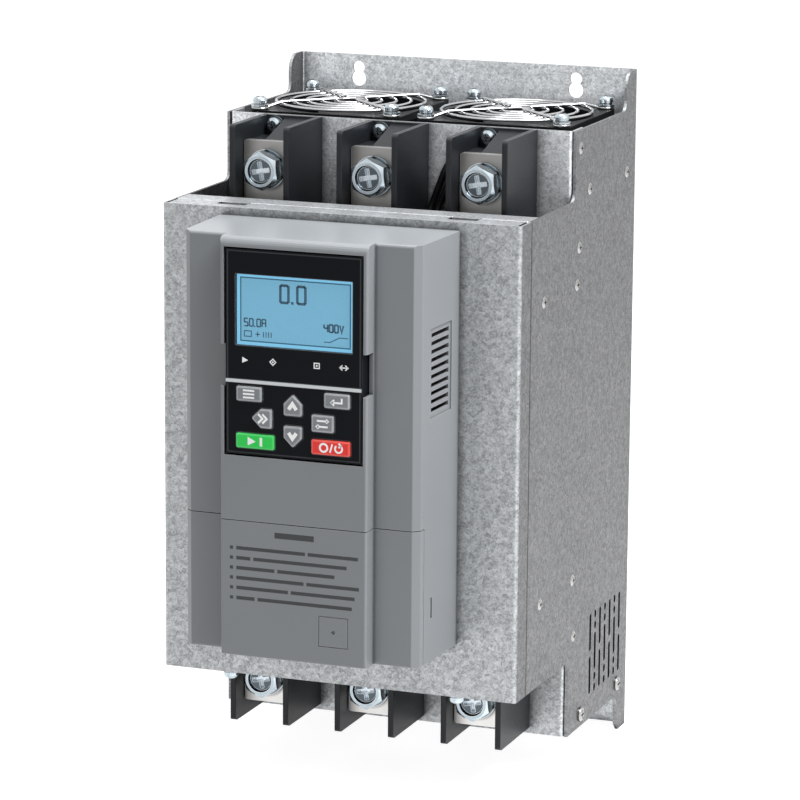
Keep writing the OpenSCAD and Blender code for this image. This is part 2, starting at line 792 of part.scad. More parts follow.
module bottom_tray()
  color(galvanised) translate([0, 0, duct_bottom]) mirror([0, 0, 1])
    air_tray([for (p = bottom_tray_screws) [p[0], duct_bottom - p[1]]], screw_r);

// Folded rail across the top of the front box, with two tongues that reach into the cover's hook notches
module top_rail()
  color(galvanised) {
    side_view(-inner_half, inner_half)
      outline([
        [box_d - rail_d, box_top, 0], [box_d, box_top, inner_t], [box_d, box_top - rail_d, 0],
        [box_d - inner_t, box_top - rail_d, 0], [box_d - inner_t, box_top - inner_t, 0],
        [box_d - rail_d, box_top - inner_t, 0]
      ]);
    for (sx = [-1, 1])
      translate([sx * hook_x, 0])
        side_view(cover_gap - hook_w / 2, hook_w / 2 - cover_gap)
          translate([box_d - 2 * inner_t, box_top - inner_t])
            square([2 * inner_t + cover_gap + tongue_reach, inner_t]);
  }

// Folded rail inside the cover's bottom flange, which the two cover screws hold
module bottom_rail() {
  leg = box_bottom + cover_t + slip;
  color(galvanised) difference() {
    union() {
      side_view(-inner_half, inner_half)
        outline([
          [box_d - inner_t, leg, 0], [box_d - rail_d, leg, inner_t], [box_d - rail_d, leg + rail_d, 0],
          [box_d - rail_d + inner_t, leg + rail_d, 0], [box_d - rail_d + inner_t, leg + inner_t, 0],
          [box_d - inner_t, leg + inner_t, 0]
        ]);
      side_view(cover_relief - inner_half, inner_half - cover_relief)
        translate([box_d - rail_d / 2, leg])
          square([cover_d - cover_t - box_d + rail_d / 2 - slip, inner_t]);
    }
    for (sx = [-1, 1])
      translate([sx * hook_x, -cover_screw_d, leg]) bore(screw_r + screw_play, -over, inner_t + over);
  }
}

// Strip across the box with flanges folded back along the side panels and spacers for a board
module crossbar(z, screws) {
  back = flange_w / 2 + plate_screw_in - duct_d;
  color(galvanised) difference() {
    union() {
      plan(z - crossbar_h / 2, z + crossbar_h / 2)
        outline([
          [-flange_half, back, 0], [-flange_half, -crossbar_d, inner_t],
          [flange_half, -crossbar_d, inner_t], [flange_half, back, 0],
          [flange_half - inner_t, back, 0], [flange_half - inner_t, inner_t - crossbar_d, 0],
          [inner_t - flange_half, inner_t - crossbar_d, 0], [inner_t - flange_half, back, 0]
        ]);
      for (sx = [-1, 1])
        facing_front(sx * (trigger_w / 2 - crossbar_h / 2), crossbar_d, z)
          bore(spacer_r, -inner_t / 2, spacer_l);
    }
    on_sides(screws) side_bore(side_screw_r);
  }
}

module upper_crossbar() crossbar(upper_bar_z, upper_bar_screws);
module lower_crossbar() crossbar(lower_bar_z, lower_bar_screws);

// Tray-shaped cover with four folded flanges
module front_cover() {
  color(galvanised) difference() {
    union() {
      plan(box_bottom, box_top)
        outline([
          [-half_w, -flange_back_d, 0], [-half_w, -cover_d, cover_fold_r], [half_w, -cover_d, cover_fold_r],
          [half_w, -flange_back_d, 0], [half_w - cover_t, -flange_back_d, 0],
          [half_w - cover_t, cover_t - cover_d, 0], [cover_t - half_w, cover_t - cover_d, 0],
          [cover_t - half_w, -flange_back_d, 0]
        ]);
      side_view(cover_relief - half_w, half_w - cover_relief)
        outline([
          [flange_back_d, box_bottom, 0], [cover_d, box_bottom, cover_fold_r],
          [cover_d, box_top, cover_fold_r], [flange_back_d, box_top, 0],
          [flange_back_d, box_top - cover_t, 0],
          [cover_d - cover_t, box_top - cover_t, 0], [cover_d - cover_t, box_bottom + cover_t, 0],
          [flange_back_d, box_bottom + cover_t, 0]
        ]);
    }
    for (sx = [-1, 1]) {
      translate([sx * hook_x - hook_w / 2, -flange_back_d - hook_d, box_top - cover_t - over])
        cube([hook_w, hook_d + over, cover_t + 2 * over]);
      translate([sx * hook_x, -cover_screw_d, box_bottom])
        bore(screw_r + screw_play, -over, cover_t + over);
    }
    front_view(cover_d - cover_t - over, cover_d + over) square([cable_w, cable_h], center = true);
    for (p = boss_places)
      facing_front(p[0], cover_d, p[1]) bore(screw_r + screw_play, -cover_t - over, over);
  }
}

// Cooling

module heat_sink() {
  step = (sink_w - fin_t) / (fin_count - 1);
  color("#b9bcbd") difference() {
    plan(sink_bottom, sink_top) {
      translate([-sink_w / 2, -sink_front_d]) square([sink_w, sink_base_t]);
      for (i = [0:fin_count - 1])
        translate([-sink_w / 2 + i * step, -sink_front_d + sink_base_t / 2])
          square([fin_t, sink_front_d - sink_back_d - sink_base_t / 2]);
    }
    for (x = terminal_x, s = [-1, 1])
      facing_front(x, sink_front_d, module_z + s * module_holes / 2)
        bore(module_screw_r + screw_play, -sink_base_t + over, over);
  }
}

module fan_corners()
  for (sx = [-1, 1], sy = [-1, 1])
    translate([sx * fan_hole_pitch / 2, sy * fan_hole_pitch / 2, 0]) children();

module at_fan(side) translate([side * fan_pitch / 2, -fan_d, fan_seat]) children();

// Square frame with a round duct, a motor carried on four struts and a bearing tube
module fan_frame(side) {
  corner = fan_w / 20;
  strut_w = fan_w / 16;
  strut_t = strut_w * 0.6;
  stator_r = hub_r - cup_t - 1.5;
  tube_r = (fan_bore_r + fan_w / 2) / 2 + 0.6;
  color(black_plastic) at_fan(side) difference() {
    union() {
      difference() {
        union() {
          plan(0, fan_flange_t) round_box(fan_w, fan_w, corner);
          plan(fan_h - fan_flange_t, fan_h) round_box(fan_w, fan_w, corner);
          bore(tube_r, 0, fan_h);
        }
        bore(fan_bore_r, -over, fan_h + over);
        fan_corners() bore(fan_hole_r, -over, fan_h + over);
      }
      for (a = [45:90:315])
        rotate(a) translate([hub_r / 2, -strut_w / 2, 0])
          cube([fan_bore_r - hub_r / 2 + over / 2, strut_w, strut_t]);
      bore(hub_r, 0, motor_base_t);
      bore(stator_r, 0, rotor_low + (hub_h - rotor_low) / 2);
      bore(shaft_r * 2.4, 0, hub_h - 2 * cup_t - over);
    }
    bore(shaft_r + shaft_play, shaft_floor, fan_h);
  }
}

module fan_frame_left() fan_frame(-1);
module fan_frame_right() fan_frame(1);

// Hub cup with its shaft and helical blades
module fan_rotor(side) {
  tip = fan_bore_r - tip_gap;
  color("#26292c") at_fan(side) {
    difference() {
      bore(hub_r, rotor_low, hub_h);
      bore(hub_r - cup_t, rotor_low - over, hub_h - cup_t);
    }
    bore(shaft_r, shaft_floor + over, hub_h - cup_t / 2);
    for (i = [0:blade_count - 1]) rotate(i * 360 / blade_count)
      translate([0, 0, rotor_low + over])
        linear_extrude(hub_h - rotor_low - 2 * over, twist = -blade_twist, slices = 6, segments = 0,
                       $fn = 4)
          translate([hub_r - cup_t / 2, -blade_t / 2]) square([tip - hub_r + cup_t / 2, blade_t]);
  }
}

module fan_rotor_left() fan_rotor(-1);
module fan_rotor_right() fan_rotor(1);

// Wire rings under four spokes that run down to a loop round each fan screw
module fan_guard(side) {
  corner = fan_hole_pitch / sqrt(2);
  inner_ring = ring_r - (ring_count - 1) * ring_gap;
  weld = 0.3 * wire_r;
  bend_r = 1.1 * wire_r;
  color(zinc) at_fan(side) translate([0, 0, fan_h]) {
    for (i = [0:ring_count - 1])
      translate([0, 0, guard_rise - 2 * wire_r + weld])
        rotate_extrude() translate([ring_r - i * ring_gap, 0]) circle(wire_r, $fn = 16);
    for (a = [45:90:315]) rotate(a) {
      translate([inner_ring - wire_r, 0, guard_rise]) rotate([0, 90, 0])
        cylinder(r = wire_r, h = ring_r + wire_r - inner_ring);
      translate([ring_r, 0, guard_rise]) sphere(bend_r);
      translate([ring_r, 0, guard_rise]) {
        run = corner - loop_r - ring_r;
        fall = guard_rise - wire_r;
        rotate([0, 90 + atan(fall / run), 0])
          cylinder(r = wire_r, h = norm([run, fall]));
      }
      translate([corner, 0, wire_r]) rotate_extrude() translate([loop_r, 0]) circle(wire_r, $fn = 16);
    }
  }
}

module fan_guard_left() fan_guard(-1);
module fan_guard_right() fan_guard(1);

module fan_screws()
  color(zinc) for (side = [-1, 1]) at_fan(side) fan_corners()
    translate([0, 0, guard_seat]) washer_screw(guard_seat + inner_t + screw_r);

// Power terminals
// Local up is towards a terminal's free end: sign 1 is a line terminal, -1 a load terminal

module at_terminal(x, end, sign) translate([x, 0, end]) mirror([0, 0, sign < 0 ? 1 : 0]) children();

// Black U-shaped barrier with a pedestal behind the bar that takes the terminal bolt
module barrier(x, end, sign) {
  inner = barrier_w / 2 - barrier_wall;
  depth = face_d + barrier_reach;
  ramp_gap = 0.8;
  lip_r = 0.6;
  front_corner = 2.5;
  pedestal_top = barrier_screw_in + washer_r + ramp_gap;
  color(black_plastic) at_terminal(x, end, sign) difference() {
    union() {
      plan(-barrier_h, 0)
        outline([
          [-barrier_w / 2, -face_d, 0], [barrier_w / 2, -face_d, 0], [barrier_w / 2, -depth, lip_r],
          [inner, -depth, lip_r], [inner, -face_d - barrier_wall, 0],
          [-inner, -face_d - barrier_wall, 0], [-inner, -depth, lip_r], [-barrier_w / 2, -depth, lip_r]
        ]);
      side_view(-inner - barrier_wall / 2, inner + barrier_wall / 2)
        outline([
          [face_d + barrier_wall / 2, -barrier_h, 0], [bar_back_d, -barrier_h, 0],
          [bar_back_d, -pedestal_top, 2], [face_d + barrier_wall / 2, -pedestal_top, 0]
        ]);
      side_view(barrier_screw_x + washer_r + ramp_gap, inner + barrier_wall / 2)
        outline([
          [face_d + barrier_wall / 2, -barrier_h, 0], [bar_back_d, -barrier_h, 0],
          [bar_back_d, -bar_end_in - ramp_gap, 0], [face_d + barrier_wall / 2, -ramp_gap, 0]
        ]);
    }
    facing_front(0, bar_back_d, -bolt_in)
      bore(bolt_r + screw_play, head_d - bolt_l - bar_back_d - over, over);
    facing_front(barrier_screw_x, face_d, -barrier_screw_in)
      bore(screw_r + screw_play, -over, barrier_wall + over);
    side_view(-barrier_w, barrier_w)
      difference() {
        translate([depth - front_corner, -front_corner]) square(front_corner + over);
        translate([depth - front_corner, -front_corner]) circle(front_corner);
      }
  }
}

module line_barrier_1() barrier(terminal_x[0], line_end, 1);
module line_barrier_2() barrier(terminal_x[1], line_end, 1);
module line_barrier_3() barrier(terminal_x[2], line_end, 1);
module load_barrier_1() barrier(terminal_x[0], load_end, -1);
module load_barrier_2() barrier(terminal_x[1], load_end, -1);
module load_barrier_3() barrier(terminal_x[2], load_end, -1);

// Flat tinned bar from a power module's terminal to the bolt at its free end
module bar(x, end, sign) {
  bottom = module_z + sign * bar_inner;
  top = end - sign * bar_end_in;
  mid = (bottom + top) / 2;
  color(tin) difference() {
    front_view(bar_back_d, bar_front_d) translate([x, mid]) round_box(bar_w, abs(top - bottom), bar_corner);
    facing_front(x, bar_back_d, end - sign * bolt_in) bore(bolt_r + screw_play, -over, bar_t + over);
    facing_front(x, bar_back_d, module_z + sign * module_terminals / 2)
      bore(module_screw_r + screw_play, -over, bar_t + over);
  }
}

module line_bar_1() bar(terminal_x[0], line_end, 1);
module line_bar_2() bar(terminal_x[1], line_end, 1);
module line_bar_3() bar(terminal_x[2], line_end, 1);
module load_bar_1() bar(terminal_x[0], load_end, -1);
module load_bar_2() bar(terminal_x[1], load_end, -1);
module load_bar_3() bar(terminal_x[2], load_end, -1);

module at_bolts(d)
  for (x = terminal_x) {
    facing_front(x, d, line_end - bolt_in) children();
    facing_front(x, d, load_end + bolt_in) children();
  }

// Hexagon bolts with rounded corners, a dish and a cross recess in the head
module terminal_bolts() {
  dish_r = bolt_af * 0.38;
  dish_t = 1.6;
  dish_slope = 0.7;
  rim_r = bolt_af * 0.46;
  recess_w = 2;
  recess_t = 2.4;
  hex_turn = 35;
  cross_turn = 10;
  color(zinc) at_bolts(head_d) {
    difference() {
      intersection() {
        rotate(hex_turn) cylinder(d = bolt_af / cos(30), h = bolt_head_h, $fn = 6);
        cylinder(r1 = rim_r + bolt_head_h / tan(35), r2 = rim_r, h = bolt_head_h);
      }
      translate([0, 0, bolt_head_h - dish_t]) {
        cylinder(r1 = dish_r - dish_slope, r2 = dish_r, h = dish_t);
        rotate(cross_turn) cross_recess(bolt_af * 0.53, recess_w, recess_t);
      }
    }
    bore(bolt_r, -bolt_l, over / 2);
  }
}

// Split ring: the cut slants across the ring
module spring_washers() {
  cut = 0.8;
  color(zinc) at_bolts(bar_front_d + flat_t) difference() {
    bore(spring_r, 0, spring_t);
    bore(bolt_r + screw_play, -over, spring_t + over);
    rotate(100) translate([bolt_r / 2, 0, spring_t / 2]) rotate([40, 0, 0])
      translate([0, -cut / 2, -spring_t * 2]) cube([spring_r, cut, spring_t * 4]);
  }
}

module flat_washers()
  color(zinc) at_bolts(bar_front_d) difference() {
    bore(flat_r, 0, flat_t);
    bore(bolt_r + screw_play, -over, flat_t + over);
  }

// Power electronics

// Sealed power module: metal base, stepped plastic body and two terminal pads
module thyristor(x) {
  body_l = module_holes - 4 * module_screw_r;
  pad = 16;
  color("#3b3d3c") translate([x, -sink_front_d, module_z]) difference() {
    union() {
      front_view(0, module_base_t) round_box(module_w, module_l, 2);
      front_view(module_base_t / 2, module_h * 0.78) round_box(module_w - 1, body_l, 1.5);
      front_view(module_base_t, module_h - 3) round_box(module_w - 8, body_l - 4, 1.5);
      for (s = [-1, 1]) front_view(module_base_t, module_h) translate([0, s * module_terminals / 2])
        round_box(pad + 4, pad, 1);
    }
    for (s = [-1, 1]) {
      facing_front(0, 0, s * module_holes / 2)
        bore(module_screw_r + screw_play, -over, module_base_t + over);
      facing_front(0, module_h, s * module_terminals / 2)
        bore(module_screw_r + screw_play, -screw_l, over);
    }
  }
}

module thyristor_1() thyristor(terminal_x[0]);
module thyristor_2() thyristor(terminal_x[1]);
module thyristor_3() thyristor(terminal_x[2]);

module module_screws() {
  head_h = 1.2 * module_screw_r;
  color(zinc) for (x = terminal_x, s = [-1, 1]) {
    for (seat = [[bar_front_d, module_terminals], [sink_front_d + module_base_t, module_holes]])
      facing_front(x, seat[0], module_z + s * seat[1] / 2) {
        difference() {
          bore(module_screw_r * 1.8, 0, head_h);
          translate([0, 0, head_h]) cross_recess(module_screw_r * 2, 1, head_h / 2);
        }
        bore(module_screw_r, 2 - screw_l, head_h / 4);
      }
  }
}

// Ring-core sensor that a load bar passes through
module current_sensor(x) {
  top = duct_bottom + load_plate_h - 2;
  front = bar_front_d + 12;
  color("#2b3440") difference() {
    plan(top - sensor_l, top)
      translate([x, -(face_d + front) / 2]) round_box(sensor_w, front - face_d, 4);
    plan(top - sensor_l - over, top + over)
      translate([x, -(bar_front_d + bar_back_d) / 2]) round_box(bar_w + 1, bar_t + 1, 0.5);
  }
}

module current_sensor_1() current_sensor(terminal_x[0]);
module current_sensor_2() current_sensor(terminal_x[1]);
module current_sensor_3() current_sensor(terminal_x[2]);

// Board with three pulse transformers and two plug headers
module trigger_board()
  color("#1f5a3a") {
    front_view(board_d, board_d + board_t) translate([0, trigger_z]) round_box(trigger_w, trigger_h, 2);
    for (i = [-1:1]) front_view(board_d, board_d + board_t + transformer_d)
      translate([i * trigger_w * 0.3, trigger_z - trigger_h * 0.18])
        round_box(transformer_w, transformer_h, 1);
    for (s = [-1, 1]) front_view(board_d, board_d + board_t + header_d)
      translate([s * trigger_w * 0.25, trigger_z + trigger_h * 0.25]) round_box(header_w, header_h, 0.5);
  }

// Housing

// Closed outer form of the housing, with every face but the back moved in by inset
module housing_form(inset) {
  back = cover_d - (inset > 0 ? over : 0);
  half = housing_w / 2 - inset;
  cut = corner_c - inset * (2 - sqrt(2));
  cut_r = inset > 0 ? 0 : corner_r;
  cut_draft = draft * (1 - cut / side_d);
  band_half = band_w / 2 - inset;
  band_edge = max(band_r - inset, 0);
  band_top_edge = max(band_top_r - inset, 0);
  edge = max(edge_r - inset, 0);
  top = housing_top - inset;
  bottom = housing_bottom + inset;
  intersection() {
    plan(bottom, top)
      outline([
        [-half, -back, 0], [half, -back, 0],
        [half - cut_draft, inset + cut - shoulder_d, cut_r],
        [half - draft - cut, inset - shoulder_d, cut_r],
        [draft + cut - half, inset - shoulder_d, cut_r],
        [cut_draft - half, inset + cut - shoulder_d, cut_r]
      ]);
    side_view(-half, half)
      outline([
        [back, bottom, 0], [shoulder_d - inset, bottom, edge],
        [shoulder_d - inset, top, edge], [back, top, 0]
      ]);
  }
  intersection() {
    plan(bottom, top)
      outline([
        [-band_half, -back, 0], [band_half, -back, 0],
        [band_half, inset - band_d, band_edge], [-band_half, inset - band_d, band_edge]
      ]);
    side_view(-band_half, band_half)
      outline([
        [back, bottom, 0], [band_d - inset, bottom, band_edge],
        [band_d - inset, top, band_top_edge], [back, top, 0]
      ]);
  }
}

module housing_shell() difference() {
  housing_form(0);
  housing_form(wall);
}

// Space of the lower cover, drawn back from its edges by a gap
module lower_cover_zone(gap) {
  low = housing_bottom - over;
  front_view(split_d + gap, band_d + over)
    translate([-housing_w / 2, low]) square([housing_w, seam_z - gap - low]);
}

module on_housing_sides(d, z)
  for (side = [-1, 1])
    translate([side * (housing_w / 2 - draft * (d - cover_d) / side_d), -d, z])
      rotate([0, 0, side * -draft_angle]) mirror([side < 0 ? 1 : 0, 0, 0]) children();

// Row of slots through a panel that is sunk outside and thinned inside
module louvres() {
  pad = 2.5;
  recess = 0.5;
  skin = 1.2;
  height = (louvre_count - 1) * louvre_pitch + louvre_h + 2 * pad;
  on_housing_sides(louvre_mid_d, louvre_z) {
    for (i = [0:louvre_count - 1])
      translate([-2 * wall, -louvre_l / 2, i * louvre_pitch - louvre_h / 2])
        cube([3 * wall, louvre_l, louvre_h]);
    for (x = [-recess, -recess - skin - wall])
      translate([x, -louvre_l / 2 - pad, -louvre_h / 2 - pad]) cube([wall, louvre_l + 2 * pad, height]);
  }
}

module housing() {
  ledge = 8;
  color(grey_plastic) difference() {
    union() {
      difference() {
        housing_shell();
        lower_cover_zone(0);
      }
      front_view(pocket_floor_d - pocket_wall, band_d - wall)
        translate([0, keypad_z]) square([pocket_w + 2, pocket_h + 2 * pocket_wall], center = true);
      intersection() {
        housing_form(0);
        for (p = boss_places)
          facing_front(p[0], cover_d, p[1]) bore(boss_r, 0, screw_l + 2);
      }
      intersection() {
        housing_form(0);
        for (sx = [-1, 1], z = [control_bottom + ledge, control_top - ledge])
          mirror([sx < 0 ? 1 : 0, 0, 0])
            translate([control_w / 2 - ledge / 2, -control_d - board_t - ledge, z - ledge / 2])
              cube([ledge * 2, ledge, ledge]);
      }
    }
    front_view(pocket_floor_d, band_d + over)
      translate([0, keypad_z]) square([pocket_w, pocket_h], center = true);
    front_view(pocket_floor_d - pocket_wall - over, pocket_floor_d + over)
      translate([0, keypad_z]) square([plug_w + 4, plug_h + 4], center = true);
    for (sx = [-1, 1])
      front_view(band_d - notch_d, band_d + over)
        translate([sx * (pocket_w / 2 + band_w / 4), notch_z]) square([band_w / 2, notch_h], center = true);
    louvres();
    on_housing_sides(latch_d, latch_z)
      translate([-2 * wall, -latch_w / 2, -latch_l / 2]) cube([3 * wall, latch_w, latch_l]);
    for (p = boss_places)
      facing_front(p[0], cover_d, p[1]) bore(screw_r + screw_play, -over, screw_l);
  }
}

// Front of the terminal compartment, with a knock-out mark and two tongues inside the housing's walls
module lower_cover() {
  groove = 0.6;
  tongue_w = 14;
  tongue_t = 2;
  tongue_l = 8;
  dimple_r = 1;
  tongue_x = housing_w / 2 - draft - wall - seam_gap;
  color(grey_plastic) difference() {
    union() {
      intersection() {
        housing_shell();
        lower_cover_zone(seam_gap);
      }
      for (sx = [-1, 1])
        mirror([sx < 0 ? 1 : 0, 0, 0])
          translate([tongue_x - tongue_t, wall - over - shoulder_d, latch_z - tongue_w / 2])
            cube([tongue_t, shoulder_d - wall + over - split_d + tongue_l, tongue_w]);
    }
    front_view(band_d - groove / 2, band_d + over)
      translate([mark_x, mark_z]) difference() {
        square(mark_w, center = true);
        square(mark_w - 2 * groove, center = true);
      }
    facing_front(mark_x, band_d, mark_z) bore(dimple_r, -groove, over);
  }
}

// Board with a processor chip and a relay
module control_board() {
  chip_w = control_w * 0.15;
  chip_t = 2 * board_t;
  relay_w = control_w * 0.22;
  relay_t = relay_w * 0.3;
  color("#1f5a3a") {
    front_view(control_d, control_d + board_t)
      translate([0, (control_top + control_bottom) / 2])
        round_box(control_w, control_top - control_bottom, 1);
    front_view(control_d, control_d + board_t + chip_t)
      translate([-control_w / 6, control_top - chip_w * 2.4]) round_box(chip_w, chip_w, 0.5);
    front_view(control_d, control_d + board_t + relay_t)
      translate([control_w / 5, control_top - relay_w * 1.2]) round_box(relay_w, relay_w * 0.4, 0.5);
  }
}

// Row of screw clamps with a wire entry below each
module terminal_strip() {
  ways = 12;
  clamp_r = 1.9;
  clamp_l = 8;
  entry_w = 4.8;
  entry_d = 5;
  entry_h = 6;
  pitch = (control_w - 2 * strip_in) / ways;
  height = 15;
  depth = 13;
  z = control_bottom + 12;
  color("#3f7d55") difference() {
    side_view(-ways * pitch / 2 - 1, ways * pitch / 2 + 1)
      translate([control_d + board_t, z])
        outline([
          [0, -height / 2, 0], [depth, -height / 2, 0.5], [depth - 3, height / 2, 0.5], [0, height / 2, 0]
        ]);
    for (i = [0:ways - 1]) {
      x = (i - (ways - 1) / 2) * pitch;
      facing_front(x, control_d + board_t + depth, z + 2) bore(clamp_r, -clamp_l, over);
      translate([x - entry_w / 2, -control_d - board_t - clamp_l, z - height / 2 - over])
        cube([entry_w, entry_d, entry_h]);
    }
  }
}

// Keypad

module keypad_rect(w, h, z) translate([0, z]) square([w, h], center = true);

// Block with rounded front edges
module keypad_form()
  intersection() {
    front_view(keypad_back, keypad_front) translate([0, keypad_z]) round_box(keypad_w, keypad_h, 1);
    plan(keypad_z - keypad_h, keypad_z + keypad_h)
      outline([
        [-keypad_w / 2, -keypad_back, 0], [keypad_w / 2, -keypad_back, 0],
        [keypad_w / 2, -keypad_front, face_edge], [-keypad_w / 2, -keypad_front, face_edge]
      ]);
    side_view(-keypad_w, keypad_w)
      outline([
        [keypad_back, keypad_z - keypad_h / 2, 0], [keypad_front, keypad_z - keypad_h / 2, face_edge],
        [keypad_front, keypad_z + keypad_h / 2, face_edge], [keypad_back, keypad_z + keypad_h / 2, 0]
      ]);
  }

module keypad_case()
  color(black_plastic) difference() {
    union() {
      difference() {
        keypad_form();
        front_view(keypad_back + case_t, face_back_d) keypad_rect(case_inner_w, case_inner_h, keypad_z);
      }
      front_view(keypad_front - face_t / 2, keypad_front + divider_rise)
        keypad_rect(keypad_w - 1, divider_t, divider_z);
    }
    front_view(face_back_d - over, keypad_front + over) keypad_rect(lcd_w, lcd_h, lcd_z);
    front_view(face_back_d - over, keypad_front + over)
      for (k = key_places) key_outline(k[0], key_gap);
    front_view(keypad_back - over, keypad_back + case_t + over) keypad_rect(plug_w, plug_h, keypad_z);
  }

module lcd_window()
  color("#9fc6dc") front_view(keypad_front - 0.2 - lens_t, keypad_front - 0.2)
    keypad_rect(lcd_w - 2 * screw_play, lcd_h - 2 * screw_play, lcd_z);

module lcd_unit()
  color("#7ab1cf") front_view(keypad_board_d + board_t, keypad_board_d + board_t + lcd_t)
    keypad_rect(lcd_w + 4, lcd_h + 6, lcd_z);

module keypad_board()
  color("#1f5a3a") front_view(keypad_board_d, keypad_board_d + board_t)
    keypad_rect(case_inner_w - 2 * slip, case_inner_h - 2 * slip, keypad_z);

// Outline of a key, grown by a gap
function key_points(name, gap) =
  name == "program" || name == "enter" ? box_points(menu_w + 2 * gap, menu_h + 2 * gap, key_corner + gap) :
  name == "run" || name == "stop" ? box_points(run_w + 2 * gap, menu_h + 2 * gap, key_corner + gap) :
  name == "mode" ? box_points(mode_w + 2 * gap, mode_h + 2 * gap, key_corner + gap) :
  arrow_points(arrow_w + 2 * gap, arrow_l + 2.4 * gap, key_corner + gap);
function key_at(name) = key_places[search([name], key_places)[0]];
module key_outline(name, gap)
  translate(key_at(name)[1]) rotate(key_at(name)[2]) outline(key_points(name, gap));

// Key with a stepped cap, a flange behind the face and a stem towards the board
module key(name) {
  cap_d = keypad_front + key_rise;
  flange_d = face_back_d - key_seat - key_flange_t;
  stem_d = keypad_board_d + board_t + key_stroke + key_seat;
  at = key_at(name)[1];
  front_view(flange_d, cap_d - key_chamfer) key_outline(name, 0);
  front_view(cap_d - 2 * key_chamfer, cap_d) key_outline(name, -key_chamfer);
  front_view(flange_d, flange_d + key_flange_t) key_outline(name, key_flange_w);
  facing_front(at[0], stem_d, at[1]) bore(stem_r, 0, flange_d + key_flange_t / 2 - stem_d);
}

module program_key() color(grey_key) key("program");
module enter_key() color(grey_key) key("enter");
module up_key() color(grey_key) key("up");
module down_key() color(grey_key) key("down");
module shift_key() color(grey_key) key("shift");
module mode_key() color(grey_key) key("mode");
module run_key() color("#1fb546") key("run");
module stop_key() color("#ee4433") key("stop");

// Small fasteners

module side_screws() color(zinc) on_sides(csk_places) side_screw();

module tray_screws() color(zinc) on_sides(bottom_tray_screws) pan_screw(screw_l);

module washer_screws()
  color(zinc) {
    for (x = terminal_x, z = [line_end - barrier_screw_in, load_end + barrier_screw_in])
      facing_front(x + barrier_screw_x, face_d + barrier_wall, z) washer_screw(screw_l);
    for (sx = [-1, 1])
      translate([sx * hook_x, -cover_screw_d, box_bottom]) mirror([0, 0, 1]) washer_screw(screw_l);
    for (p = boss_places)
      facing_front(p[0], cover_d - cover_t, p[1]) mirror([0, 0, 1]) washer_screw(screw_l);
  }

chassis();
line_plate();
load_plate();
fan_tray();
bottom_tray();
top_rail();
bottom_rail();
upper_crossbar();
lower_crossbar();
heat_sink();
thyristor_1();
thyristor_2();
thyristor_3();
line_bar_1();
line_bar_2();
line_bar_3();
load_bar_1();
load_bar_2();
load_bar_3();
line_barrier_1();
line_barrier_2();
line_barrier_3();
load_barrier_1();
load_barrier_2();
load_barrier_3();
terminal_bolts();
spring_washers();
flat_washers();
module_screws();
current_sensor_1();
current_sensor_2();
current_sensor_3();
fan_frame_left();
fan_frame_right();
fan_rotor_left();
fan_rotor_right();
fan_guard_left();
fan_guard_right();
fan_screws();
front_cover();
washer_screws();
tray_screws();
side_screws();
housing();
lower_cover();
control_board();
terminal_strip();
trigger_board();
keypad_case();
lcd_window();
lcd_unit();
keypad_board();
program_key();
enter_key();
up_key();
down_key();
shift_key();
mode_key();
run_key();
stop_key();
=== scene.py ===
"""Looks of a wall-hung soft starter, laid out as a Blender add-on and run as a script.

The packed model is the fixed frame, in metres: X points right, the front faces -Y and Z points up.
Every solid keeps its shape and gets a finish. The new pieces are the marks on the keys, the lamps'
marks, the display's figures, the print on the lower cover and the right fan's leads.
"""
import math

import bpy
import numpy as np
from mathutils import Matrix, Vector


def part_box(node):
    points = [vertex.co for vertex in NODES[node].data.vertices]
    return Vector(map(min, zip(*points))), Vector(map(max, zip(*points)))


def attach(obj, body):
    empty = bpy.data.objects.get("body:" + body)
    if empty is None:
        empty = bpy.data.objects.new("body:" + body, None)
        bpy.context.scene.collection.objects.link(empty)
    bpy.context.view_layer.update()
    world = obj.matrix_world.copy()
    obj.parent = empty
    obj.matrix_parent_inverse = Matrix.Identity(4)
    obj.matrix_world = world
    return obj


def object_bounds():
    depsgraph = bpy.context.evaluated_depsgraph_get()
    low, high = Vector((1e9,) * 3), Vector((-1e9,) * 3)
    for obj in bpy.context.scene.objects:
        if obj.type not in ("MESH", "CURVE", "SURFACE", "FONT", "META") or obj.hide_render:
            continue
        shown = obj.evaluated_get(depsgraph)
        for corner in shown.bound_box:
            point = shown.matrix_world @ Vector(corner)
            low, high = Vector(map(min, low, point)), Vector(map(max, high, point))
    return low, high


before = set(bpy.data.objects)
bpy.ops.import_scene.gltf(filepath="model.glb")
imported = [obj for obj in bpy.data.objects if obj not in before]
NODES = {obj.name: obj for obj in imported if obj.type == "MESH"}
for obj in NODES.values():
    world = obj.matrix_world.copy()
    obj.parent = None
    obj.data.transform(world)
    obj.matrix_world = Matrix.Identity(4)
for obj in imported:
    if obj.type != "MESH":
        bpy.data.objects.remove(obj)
CAD_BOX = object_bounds()
MM = 0.001

bl_info = {
    "name": "Soft starter looks",
    "version": (1, 0, 0),
    "blender": (4, 5, 0),
    "location": "View3D > Sidebar > Starter",
    "description": "Finishes, prints and lights a wall-hung soft starter",
    "category": "Object",
}


def colour(name, description, default):
    """Colour property, in linear values."""
    return bpy.props.FloatVectorProperty(
        name=name, description=description, default=default, size=3, min=0, max=1, subtype="COLOR")


def length(name, description, default):
    """Length property, in metres."""
    return bpy.props.FloatProperty(
        name=name, description=description, default=default, min=0, precision=5, unit="LENGTH")


def share(name, description, default, top=1.0):
    """Plain number property from 0 to top."""
    return bpy.props.FloatProperty(name=name, description=description, default=default, min=0, max=top)


def angle(name, description, degrees):
    """Angle property, from a default in degrees."""
    return bpy.props.FloatProperty(
        name=name, description=description, default=math.radians(degrees), subtype="ANGLE")


def power(name, description, watts):
    """Lamp power property, in watts."""
    return bpy.props.FloatProperty(name=name, description=description, default=watts, min=0)


